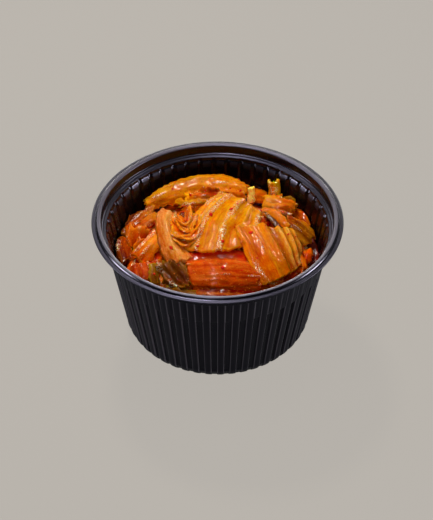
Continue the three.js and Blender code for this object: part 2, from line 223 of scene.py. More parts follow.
def floorPaint():  # mostly its own light, so that only a soft shadow shows
    paint = Paint("paleFloor")
    shade = rgb(room["floor"])
    glow = (*shade * (1 - room["shadow"]), 1.0)
    dull = (*shade * room["shadow"], 1.0)
    return paint.finish(Base_Color=dull, Roughness=1.0, Specular_IOR_Level=0.0,
                        Emission_Color=glow, Emission_Strength=1.0)


def makeRoom():
    bpy.ops.mesh.primitive_plane_add(size=room["size"])
    floor = bpy.context.object
    floor.name = "floor"
    floor.data.materials.append(floorPaint())
    floor.visible_glossy = False
    paint = Paint("room", "worlds")
    rise = paint.node("SeparateXYZ", {}, {0: paint.node("TexCoord")}, 2)
    height = paint.node("MapRange", {}, {0: rise, 1: -1.0})
    stops = [(place, (light, light, light, 1)) for place, light in room["sky"]]
    sky = paint.node("ValToRGB", {"stops": stops}, {0: height})
    paint.node("OutputWorld", {}, {"Surface": paint.node("Background", {}, {"Color": sky})})
    bpy.context.scene.world = paint.owner


# smooth random values

gradients = np.random.default_rng(11).normal(size=(256, 3))
gradients /= np.linalg.norm(gradients, axis=1)[:, None]


def smoothNoise(points, seed=0):  # gradient noise, about -1 to 1
    cell = np.floor(points).astype(np.int64)
    inside = points - cell
    fade = inside ** 3 * (inside * (inside * 6 - 15) + 10)
    total = np.zeros(points.shape[:-1])
    for corner in np.ndindex(2, 2, 2):
        x, y, z = np.moveaxis(cell + corner, -1, 0)
        key = (x * 374761393 + y * 668265263 + z * 974634777 + seed * 144665) & 0xFFFFFFFF
        key = ((key ^ (key >> 13)) * 1274126177) & 0xFFFFFFFF
        slope = gradients[(key ^ (key >> 16)) & 255]
        weight = np.prod(np.where(corner, fade, 1 - fade), axis=-1)
        total += weight * np.sum(slope * (inside - corner), axis=-1)
    return 1.8 * total


def roughNoise(points, seed=0, octaves=3):
    return sum(smoothNoise(points * 2 ** k, seed + k) * 0.5 ** k for k in range(octaves))


def ease(values, low, high):
    share = np.clip((values - low) / (high - low), 0, 1)
    return share * share * (3 - 2 * share)


def between(values, start, full, fade, end):  # 1 from full to fade, smoothly down to 0 at start and end
    return ease(values, start, full) * ease(-values, -end, -fade)


def blend(one, other, share):
    return one * (1 - share) + other * share


# meshes

def makePiece(name, points, faces, material, slot, replaced=(), tones=None, lay=None):
    mesh = bpy.data.meshes.new(name)
    if isinstance(faces, np.ndarray):
        faces = faces.tolist()
    mesh.from_pydata(np.asarray(points, dtype=np.float64) * mm, [], faces)
    if tones is not None:
        colours = np.c_[tones, np.ones(len(tones))]
        mesh.attributes.new("tone", "FLOAT_COLOR", "POINT").data.foreach_set("color", colours.ravel())
    if lay is not None:
        mesh.attributes.new("lay", "FLOAT_VECTOR", "POINT").data.foreach_set("vector", np.ravel(lay))
    mesh.polygons.foreach_set("use_smooth", np.ones(len(mesh.polygons), dtype=bool))
    mesh.materials.append(material)
    piece = putInScene(name, mesh)
    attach(piece, "root")
    if replaced:
        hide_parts(*replaced)
    return piece


def gridQuads(grid):  # the quads between the points of a grid
    return np.stack([grid[:-1, :-1], grid[:-1, 1:], grid[1:, 1:], grid[1:, :-1]], -1).reshape(-1, 4)


def ring(radius, height, angles):
    return np.c_[radius * np.cos(angles), radius * np.sin(angles), np.full(len(angles), height)]


def disc(radii, columns):  # angles round a disc, and its points in rings with no height yet
    angles = np.linspace(0, 2 * math.pi, columns, endpoint=False)
    radius, angle = np.meshgrid(radii, angles, indexing="ij")
    return angles, np.stack([radius * np.cos(angle), radius * np.sin(angle), np.zeros_like(radius)], -1)


def randomSpot(spread, rng):  # a place in the heap and its direction from the middle
    radius = spread * math.sqrt(rng.uniform(0.02, 1))
    around = rng.uniform(0, 2 * math.pi)
    return radius * math.cos(around), radius * math.sin(around), around


def turnedFaces(rows, columns):  # quads between rows of a turned shape
    grid = np.arange(rows * columns).reshape(rows, columns)
    return gridQuads(np.c_[grid, grid[:, 0]]).tolist()


def turnedSolid(rows, columns):  # the same, with a cap on the first and last row
    first = list(range(columns))
    last = [(rows - 1) * columns + k for k in first]
    return turnedFaces(rows, columns) + [first[::-1], last]


# the tub

tub = {
    "ribs": 48,
    "phases": [0, 0.03, 0.07, 0.13, 0.2, 0.27, 0.34, 0.42, 0.5, 0.53, 0.56, 0.7, 0.85, 0.9, 0.93, 0.96],
    "wallTop": 0.455 * lipWidth,  # radius outside the ribs, under the collar
    "wallFoot": 0.385 * lipWidth,  # and where the base corner starts
    "corner": 8,
    "collarHeight": lipHeight - 5.2,
    "shoulder": 38.5,
    "recess": 0.95,  # how deep the outside lies between ribs, below the shoulder
    "groove": 0.22,  # and above it
    "crown": 0.10,
    "setBack": 0.12,
    "wall": 1.75,  # from the ribs' outside to the inside
    "innerGroove": 0.75,
    "innerHollow": 0.35,
    "floor": 1.2,
    "plastic": "#09070b",
}


def ribRadius(height):
    slope = (tub["wallTop"] - tub["wallFoot"]) / (tub["collarHeight"] - tub["corner"])
    return tub["wallFoot"] + slope * (height - tub["corner"])


def outerSetback(phase, height):  # how far the outside lies behind the ribs, over one rib's spacing
    recess = between(phase, 0.50, 0.56, 0.93, 0.99)
    groove = between(phase, 0.84, 0.90, 0.93, 0.99)
    crown = tub["crown"] * np.cos((phase - 0.27) * 2 * math.pi) ** 2 * (phase < 0.52)
    below = tub["recess"] * recess + tub["setBack"] - crown
    above = tub["groove"] * groove + tub["setBack"] - crown
    upper = ease(height, tub["shoulder"] - 0.4, tub["shoulder"] + 0.4)
    return blend(below, above, upper)


def innerSetback(phase, height):  # a groove behind each rib
    groove = between(phase, 0.12, 0.20, 0.34, 0.42)
    hollow = between(phase, 0.04, 0.10, 0.48, 0.54)
    lower = 1 - ease(height, tub["shoulder"] - 1, tub["shoulder"] + 1)
    return tub["wall"] - tub["innerGroove"] * groove - tub["innerHollow"] * hollow * lower


def tubRows():  # (radius, height, share of the outer ribs, share of the inner grooves)
    foot = [(0.02, 0.35), (20, 0.3), (27.5, 0.3), (28.3, 0)]
    rows = [(radius, height, 0, 0) for radius, height in foot]
    centre = tub["wallFoot"] - tub["corner"]
    for angle in np.radians(np.arange(0, 91, 10)):
        height = tub["corner"] * (1 - math.cos(angle))
        rows.append((centre + tub["corner"] * math.sin(angle), height, min(1, height / 6), 0))
    edge = tub["shoulder"]
    for height in [12, 18, 24, 30, 35, edge - 0.6, edge - 0.3, edge, edge + 0.3, edge + 0.6, 42, 46, 50.2]:
        rows.append((ribRadius(height), height, 1, 0))
    collar = tub["collarHeight"]
    under = ribRadius(50.5)
    rows += [(under, collar - 0.1, 1, 0), (under + 0.5, collar, 0.3, 0)]
    lip = lipWidth / 2
    rolled = [
        (47.1, collar), (47.3, collar + 0.1), (47.35, collar + 0.4), (47.4, 53.9), (47.6, 54.15),
        (49.9, 54.3), (lip - 0.25, 54.35), (lip - 0.05, 54.55), (lip, 54.85), (lip - 0.08, 55.12),
        (lip - 0.3, 55.22), (49.5, 55.22), (49, 55.24), (48.8, 55.32), (48.66, 55.5), (48.56, 55.75),
        (48.4, 55.92), (48.1, lipHeight), (47.75, 55.96), (47.35, 55.86), (47, 55.73), (46.8, 55.56),
        (46.68, 55.2), (46.6, 54.6), (46.6, 52.5), (46.55, 52.1), (46.4, 51.9), (46.05, 51.8),
        (45.85, 51.7), (45.78, 51.45), (45.65, 51.25), (45.3, 51.15), (45.05, 51),
    ]
    rows += [(radius, height, 0, 0) for radius, height in rolled]
    rows.append((44.98, 50.7, 0, 0.2))
    for height in [50.3, 49.5, 48.7, 48.3, 47.8]:
        spread = max(0, (height - 48.3) / (50.7 - 48.3))
        rows.append((ribRadius(height) + 0.88 * spread, height, 0, 1))
    for height in [46, 42, edge + 1, edge, edge - 1, 35, 30, 24, 18, 12, 8]:
        rows.append((ribRadius(height), height, 0, 1))
    for angle in np.radians([75, 60, 45, 30, 15, 0]):
        radius = centre + 2 + (tub["corner"] - 2) * math.sin(angle)
        rows.append((radius, tub["floor"] + 6.2 * (1 - math.cos(angle)), 0, 0.5))
    return rows + [(20, tub["floor"], 0, 0), (0.02, tub["floor"], 0, 0)]


def rimLightAndShade(radius, height):  # painted light on the lip: a highlight on the crest and a faint one on the flange, the plain plastic on the inner step, painted shade on the slopes and everywhere else
    if radius > 49.2:
        return 0.62 if height > 54.7 else 0.2
    if radius > 48.3:
        return 0.0 if height > 55 else 0.3
    if radius > 46.75 and height > 55.5:
        return 1.0
    return 0.5 if 45 < radius < 46.2 and height < 52 else 0.0


def innerShade(phase, height):  # painted shade on the inner walls, up to the plastic's own colour on the tops of the inner ribs
    patch = 1 - between(phase, 0.02, 0.08, 0.50, 0.56)
    shoulder = between(height, 47.2, 48.2, 48.9, 49.6)
    return 0.06 + 0.42 * patch * shoulder


def ribLightAndShade(phase, height, ribs):  # painted highlights along the rib edges, painted shade in the recesses below the shoulder and the grooves above it
    nearEdge = np.minimum(np.abs(phase - 0.505), np.minimum(phase, 1 - phase) + 0.005)
    edgeHighlight = ease(-nearEdge, -0.06, -0.01)
    recess = between(phase, 0.53, 0.57, 0.93, 0.97)
    groove = between(phase, 0.86, 0.91, 0.93, 0.98)
    upper = ease(height, tub["shoulder"] - 0.3, tub["shoulder"] + 0.3)
    # dark is the painted shade in the recesses and grooves
    dark = 0.9 * recess * (1 - upper) + 0.5 * groove * upper
    return 0.5 * (1 - ribs * dark) + 0.5 * edgeHighlight * min(ribs, 1)


def makeTub():
    phases = tub["phases"]
    phase = np.tile(phases, tub["ribs"])
    angles = (np.repeat(np.arange(tub["ribs"]), len(phases)) + phase) / tub["ribs"] * 2 * math.pi
    points, tones = [], []
    rows = tubRows()
    for radius, height, ribs, grooves in rows:
        if ribs:
            tone = ribLightAndShade(phase, height, ribs)
        elif grooves:
            tone = innerShade(phase, height)
        else:
            tone = np.full(len(phase), rimLightAndShade(radius, height))
        tones.append(np.repeat(tone[:, None], 3, axis=1))
        reach = radius - ribs * outerSetback(phase, height) - grooves * innerSetback(phase, height)
        points.append(ring(reach, height, angles))
    faces = turnedSolid(len(rows), len(angles))
    return makePiece("ribbedTub", np.vstack(points), faces, tubPaint(), "tub", ["tub"], np.vstack(tones))


def tubPaint():
    paint = Paint("blackPlastic")
    where = paint.places()
    cloud = paint.noise(where, 0.12, 3)
    grain = paint.noise(where, 3.0, 4, 0.6)
    scuff = paint.noise(paint.stretch(where, (1, 1, 0.15)), 1.2, 3)
    tone = paint.stored("tone", 2)
    # the tone paints shade down to near black below 0.5 and a pale grey highlight above 0.55
    colour = paint.mix(paint.step(tone, 0.0, 0.5), rgba("#040305"), rgba(tub["plastic"]))
    colour = paint.mix(paint.step(tone, 0.55, 1.0) * (0.5 + 0.5 * cloud), colour, rgba("#5c5a66"))
    sheen = 0.38 + cloud * 0.08 + paint.step(scuff, 0.55, 0.8) * 0.1 + paint.step(tone, 0.25, 0.12) * -0.2
    relief = paint.bump(grain, 0.25, 0.02)
    return paint.finish(Base_Color=colour, Roughness=sheen, Specular_IOR_Level=0.4,
                        Specular_Tint=rgba("#d6d2ff"), Normal=relief)


# cabbage

def through(values, t):  # a smooth curve through evenly spaced values
    values = np.asarray(values, dtype=float)
    if len(values) == 1:
        return np.repeat(values, len(t), axis=0)
    padded = np.concatenate([[2 * values[0] - values[1]], values, [2 * values[-1] - values[-2]]])
    spot = np.clip(t, 0, 1) * (len(values) - 1)
    i = np.minimum(spot.astype(int), len(values) - 2)
    f = (spot - i).reshape([-1] + [1] * (values.ndim - 1))
    a, b, c, d = [padded[i + k] for k in range(4)]
    square, cube = 2 * a - 5 * b + 4 * c - d, 3 * b - a - 3 * c + d
    return 0.5 * (2 * b + (c - a) * f + square * f ** 2 + cube * f ** 3)


def unit(vectors):
    return vectors / np.linalg.norm(vectors, axis=-1, keepdims=True)


def crowded(count):  # steps from -1 to 1 that are closer together near both ends
    even = np.linspace(-1, 1, count + 1)
    return even * (1.3 - 0.3 * even ** 2)


def spineInBox(node, shares):  # points given in hundredths of a CAD node's box
    low, high = [np.array(corner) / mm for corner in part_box(node)]
    return low + np.array(shares) / 100 * (high - low)


# A leaf or stem. Width, roll, cup and colours run along the spine, where t goes from 0 to 1. Ridges and
# bands lie across it, where v goes from -1 to 1 at its right side. A ridge has its v at both ends, then its
# height and width.
usual = {
    "thickness": (1.8, 1.0), "square": 2.5, "bulge": 0, "slant": (0, 0), "face": (0, 0, 1), "fine": 0.38,
    "roll": [0], "cup": [0], "pleats": 0, "depth": 0, "ridges": [], "teeth": 0, "drift": 0.5, "crest": 2.0,
    "wrinkle": 0.22, "grain": 3.4, "ruffle": 0, "ragged": 0.5, "veins": 0.05, "beads": 0.07,
    "wet": 0.5, "streak": 1.3, "gleam": 0, "bands": [], "banding": 0.6, "left": None, "right": None,
    # the valley colour with lean is painted shade in the folds; light is painted light and shade for the
    # whole piece
    "deep": "#9a2606", "lean": 0.55, "rim": None, "rich": (1.15, 1.25, 1.7), "light": 1.0,
}
wallRoom = {"gap": 3.2, "bend": 1.2}  # how far inside the ribs a piece starts to bend, and how softly


def keepInside(points):  # pieces by the wall bend along it
    radius = np.hypot(points[:, 0], points[:, 1])
    free = ribRadius(points[:, 2]) - wallRoom["gap"]
    over = np.maximum(radius - free, 0)
    bent = np.where(over > 0, free + wallRoom["bend"] * (1 - np.exp(-over / wallRoom["bend"])), radius)
    points[:, :2] *= (bent / np.maximum(radius, 1e-6))[:, None]
    return points


def layOut(look, spine):  # a strip's middle surface, with how far along and across each point lies
    length = np.sum(np.linalg.norm(np.diff(through(spine, np.linspace(0, 1, 40)), axis=0), axis=1))
    widest = max(look.width)
    steps = (crowded(int(max(length / look.fine, 14))) + 1) / 2
    sides = crowded(int(max(widest / look.fine, 12)))
    along = unit(through(spine, steps + 0.01) - through(spine, steps - 0.01))
    along[0] = along[1]
    along[-1] = along[-2]
    sideways = unit(np.cross(along, look.face))
    outward = np.cross(sideways, along)
    turn = np.radians(through(look.roll, steps))[:, None]
    normal = outward * np.cos(turn) + sideways * np.sin(turn)
    right = sideways * np.cos(turn) - outward * np.sin(turn)
    reach = through(look.width, steps)[:, None] / 2
    bend = np.radians(through(look.cup, steps))[:, None] / 2
    bend = np.where(np.abs(bend) < 1e-3, 1e-3, bend)
    t, v = np.meshgrid(steps, sides, indexing="ij")
    downLeaf = t * length

    # ragged edges: each side's reach, and each end, wander a little
    seeds = np.full_like(t, look.seed)
    sideNoise = roughNoise(np.stack([downLeaf / 2.6, np.sign(v) * 3.0, seeds], -1), look.seed)
    reach = reach + look.ragged * sideNoise * np.abs(v) ** 3
    endNoise = roughNoise(np.stack([v * widest / 5, np.round(t) * 7.0, seeds], -1), look.seed + 5)
    endShift = 1.4 * look.ragged * endNoise * np.abs(2 * t - 1) ** 6 * np.sign(t - 0.5)
    across = v * reach
    angle = v * bend
    radius = reach / bend
    place = through(spine, steps)[:, None, :] \
        + right[:, None, :] * (radius * np.sin(angle))[..., None] \
        + normal[:, None, :] * (radius * (np.cos(angle) - 1))[..., None]
    slide = v * (look.slant[0] * (1 - t) + look.slant[1] * t) - v ** 2 * t ** 2 * look.bulge + endShift
    place = place + along[:, None, :] * slide[..., None]
    for start, _, _, wide in look.ridges:
        tooth = np.exp(-((v - start) * reach / (wide * 1.8)) ** 2)
        place = place - along[:, None, :] * (look.teeth * tooth * (1 - t) ** 8)[..., None]
    out = normal[:, None, :] * np.cos(angle)[..., None] + right[:, None, :] * np.sin(angle)[..., None]
    return SimpleNamespace(
        t=t, v=v, reach=reach, across=across, downLeaf=downLeaf, place=place, out=out,
        flow=np.stack([across, downLeaf, np.full_like(t, 7.3 * look.seed)], -1),
        fromSide=(1 - np.abs(v)) * reach, fromEnd=np.minimum(t, 1 - t) * length,
    )


def addRelief(look, strip):  # pleats or wandering ridges, fine veins, wrinkles, and ruffles at the edges
    flow, t, seed = strip.flow, strip.t, look.seed
    strip.wander = look.drift * smoothNoise(flow * (0.05, 0.07, 1), seed + 2)
    phase = math.pi * look.pleats * (strip.v + 1) + strip.wander * 2.2
    wave = ((1 - np.cos(phase)) / 2) ** look.crest * 2 - 1
    lift = 0.75 + 0.4 * smoothNoise(flow * (0.12, 0.09, 1), seed + 3)
    relief = look.depth * wave * lift if look.pleats else np.zeros_like(t)
    ridge = np.zeros_like(t)
    streak = np.zeros_like(t)
    for start, end, height, wide in look.ridges:
        offset = strip.across - (start * (1 - t) + end * t) * strip.reach + 1.2 * strip.wander
        ridge = ridge + height * np.exp(-(offset / wide) ** 2) * lift * 1.2
        streak = np.maximum(streak, min(1, look.gleam + height) * np.exp(-(offset / look.streak) ** 2))
    relief = relief + ridge
    crest = relief.copy()
    crumple = roughNoise(flow / (look.grain, look.grain * 2.4, 1), seed + 4, 3)
    relief += look.wrinkle * crumple
    relief += look.veins * (np.abs(smoothNoise(flow * (0.75, 0.08, 1), seed + 6)) * 2 - 0.7)
    wetPatch = ease(smoothNoise(flow / (5, 11, 1), seed + 10), 0.6 - 1.2 * look.wet, 1.0 - 1.2 * look.wet)
    if look.ridges:
        strip.shine = ease(streak, 0.15, 0.75) * (0.35 + 0.65 * wetPatch)
        strip.height = crest - 0.25 + 0.2 * crumple
    elif look.pleats:
        strip.shine = ease(wave, -0.2, 0.9) * (0.35 + 0.65 * wetPatch)
        strip.height = crest / (look.depth * 2.2) + 0.15 * crumple
    else:
        strip.shine = ease(crumple, -0.4, 0.6) * wetPatch
        strip.height = 0.5 * smoothNoise(flow / (6, 12, 1), seed + 13)
    pebbles = smoothNoise(flow / (1.15, 1.5, 1), seed + 7)
    pebbles = pebbles + 0.5 * smoothNoise(flow / (0.7, 0.9, 1), seed + 11)
    relief += look.beads * pebbles * (0.25 + 1.3 * strip.shine)
    edge = np.clip((np.abs(strip.v) - 0.35) / 0.65, 0, 1) ** 1.5
    return relief + look.ruffle * (0.25 + edge) * roughNoise(flow / (2.2, 2.6, 1), seed + 8, 2)


def halfThickness(look, strip):  # rounded off at the rim
    half = (look.thickness[0] * (1 - strip.v ** 2) + look.thickness[1] * strip.v ** 2) / 2
    half = half * (1 + 0.2 / (0.5 + half) * smoothNoise(strip.flow / (3, 5, 1), look.seed + 9))
    for gap in (strip.fromSide, strip.fromEnd):
        rounding = np.clip(1 - gap / (0.55 * look.thickness[1] + 0.25), 0, 1)
        half = half * (1 - rounding ** look.square) ** (1 / look.square)
    return half


def closeSkin(upper, lower):  # one closed skin: the lower grid shares the upper grid's rim
    rows, columns = upper.shape[:2]
    top = np.arange(rows * columns).reshape(rows, columns)
    under = top.copy()
    under[1:-1, 1:-1] = rows * columns + np.arange((rows - 2) * (columns - 2)).reshape(rows - 2, columns - 2)
    faces = np.vstack([gridQuads(top), gridQuads(under)[:, [0, 3, 2, 1]]])
    points = keepInside(np.vstack([upper.reshape(-1, 3), lower[1:-1, 1:-1].reshape(-1, 3)]))
    pick = np.concatenate([top.ravel(), top[1:-1, 1:-1].ravel()])
    return points, faces, pick


def leafTones(look, strip):  # along the leaf, its sides, the bands across, painted shade deeper in the folds, then the rim, partly a painted glow; the piece's light then makes it brighter or darker as painted light
    tones = through([rgb(code) for code in look.colours.split()], strip.t.ravel()).reshape(*strip.t.shape, 3)
    for side, code in ((-1, look.left), (1, look.right)):
        if code:
            tones = blend(tones, rgb(code), ease(strip.v * side, 0.05, 0.95)[..., None])
    if look.bands:
        spots, codes = zip(*look.bands)
        shades = np.array([rgb(code) for code in codes])
        bands = [np.interp(strip.v + 0.05 * strip.wander, spots, shades[:, k]) for k in range(3)]
        tones = blend(tones, np.stack(bands, -1), look.banding)
    mottle = 1 + 0.16 * roughNoise(strip.flow / (5, 9, 1), look.seed + 12, 2)[..., None]
    # painted shade: the valleys of the relief take the valley colour
    low = ease(-strip.height, -0.2, 0.5)[..., None] * look.lean
    tones = blend(tones, rgb(look.deep), low) * mottle
    # the rim colour is partly the leaf's own paler edge, partly a painted glow of light through the thin edge
    if look.rim:
        edge = ease(-np.minimum(strip.fromSide, strip.fromEnd), -1.1, -0.2)
        tones = blend(tones, rgb(look.rim), 0.7 * edge[..., None])
    # light scales each piece's colour brighter or darker for how much light reaches it: painted light and
    # shade
    return np.clip(tones, 0.001, 1) ** np.array(look.rich) * look.light


def buildStrip(spine, look):
    look = SimpleNamespace(**{**usual, **look})
    strip = layOut(look, np.asarray(spine, dtype=float))
    relief = addRelief(look, strip)
    half = halfThickness(look, strip)
    upper, lower = [strip.place + strip.out * height[..., None] for height in (relief + half, relief - half)]
    points, faces, pick = closeSkin(upper, lower)
    lay = np.stack([strip.across + 37 * look.seed, strip.downLeaf, strip.shine], -1)
    return points, faces, leafTones(look, strip).reshape(-1, 3)[pick], lay.reshape(-1, 3)[pick]


def cabbagePaint(name, pale="#ffb838", stain="#d83808", paleness=0.3, staining=0.45, gloss=1.0, rough=0.0):
    paint = Paint(name)
    where = paint.places()
    tone = paint.stored("tone", 0)
    lay = paint.stored("lay", 1)
    crest = paint.step(paint.node("SeparateXYZ", {}, {0: lay}, 2), 0.35, 0.9)
    fibres = paint.noise(paint.stretch(lay, (1.1, 0.08, 0)), 1.0, 2, 0.5)
    strands = paint.noise(paint.stretch(lay, (0.35, 0.04, 0)), 1.0, 1, 0.5)
    blotch = paint.noise(where, 0.16, 4, 0.55)
    pores = paint.noise(where, 1.1, 1, 0.5)
    cells = paint.noise(paint.stretch(lay, (1.3, 0.5, 0)), 1.0, 2, 0.6)
    grains = paint.noise(where, 2.0, 1, 0.5)
    dots = paint.node("TexVoronoi", {}, {"Vector": where, "Scale": 0.42, "Randomness": 1.0})
    coats = [  # where, from, to, how much, colour and way
        (strands, 0.45, 0.75, paleness, pale, "MIX"),
        (fibres, 0.50, 0.75, 0.5 * paleness, pale, "MIX"),
        (fibres, 0.47, 0.30, 0.55, "#f48428", "MULTIPLY"),
        (blotch, 0.48, 0.68, staining, stain, "MULTIPLY"),
        (1 - dots * 6.5, 0.2, 0.6, 0.8, "#b01602", "MIX"),
        (cells, 0.49, 0.36, 0.25, "#e88038", "MULTIPLY"),
        (cells, 0.54, 0.68, 0.3, pale, "MIX"),
        (pores, 0.48, 0.34, 0.3, "#f08c40", "MULTIPLY"),
        # pale grains on the crests are painted highlight specks; darker grains lie everywhere, more on the
        # crests
        (grains, 0.52, 0.60, crest * 0.75, "#fff0c4", "MIX"),
        (grains, 0.50, 0.36, 0.35 + crest * 0.4, "#ff9a50", "MULTIPLY"),
    ]
    colour = tone
    for mask, low, high, share, code, way in coats:
        colour = paint.mix(paint.step(mask, low, high) * share, colour, rgba(code), way)
    sheen = 0.22 + rough - crest * 0.06 - paint.step(blotch, 0.5, 0.7) * 0.05
    wet = paint.step(grains, 0.50, 0.60) * crest
    specks = paint.step(pores, 0.53, 0.61) * (0.4 + 0.4 * crest)
    film = (0.02 + 0.98 * wet.maths("MAXIMUM", wet, specks)) * gloss
    relief = paint.bump(fibres, 0.3, 0.12)
    relief = paint.bump(pores * (0.6 + 0.9 * crest), 1.0, 0.26, relief)
    relief = paint.bump(grains * (0.3 + crest), 1.0, 0.06, relief)
    return paint.finish(Base_Color=colour, Roughness=sheen, Specular_IOR_Level=0.03, Coat_Weight=film,
                        Coat_Roughness=0.07, Specular_Tint=rgba("#ffa838"),
                        Subsurface_Weight=0.5, Subsurface_Radius=(1.0, 0.25, 0.05),
                        Subsurface_Scale=1.4 * mm, Normal=relief)


finishes = {  # the record's material slot, and how the cabbage's paint differs
    "goldenLeaf": ("kimchi_yellow", {"pale": "#ffb414", "paleness": 0.4, "staining": 0.35, "gloss": 1.5}),
    "shadedLeaf": ("kimchi_yellow", {"pale": "#ffb414", "paleness": 0.4, "staining": 0.35, "gloss": 0.75}),
    "paleStem": ("kimchi_stem", {"pale": "#ffc078", "paleness": 0.5, "staining": 0.15, "gloss": 1.5}),
    "orangeLeaf": ("kimchi_orange", {"pale": "#ff9210", "gloss": 1.3}),
    "redStem": ("kimchi_red", {"pale": "#f48824", "paleness": 0.45, "gloss": 0.5, "rough": 0.05}),
    "darkLeaf": ("kimchi_green", {
        "pale": "#86600a", "paleness": 0.12, "staining": 0.2, "stain": "#302004", "gloss": 1.3}),
    "oliveLeaf": ("kimchi_olive", {"pale": "#b88a18", "paleness": 0.4, "staining": 0.35, "stain": "#803008"}),
}
paints = {}


def paintFor(kind):  # the paint, made when it is first needed, and its slot
    slot, changes = finishes[kind]
    if kind not in paints:
        paints[kind] = cabbagePaint(kind, **changes)
    return paints[kind], slot


def makeCabbage(node, parts, kind, name=None):  # one piece from one or more strips
    starts = np.cumsum([0] + [len(part[0]) for part in parts])
    faces = np.vstack([part[1] + start for part, start in zip(parts, starts)])
    points, tones, lay = [np.vstack([part[k] for part in parts]) for k in (0, 2, 3)]
    return makePiece(name or node + "_cabbage", points, faces, *paintFor(kind), [node], tones, lay)


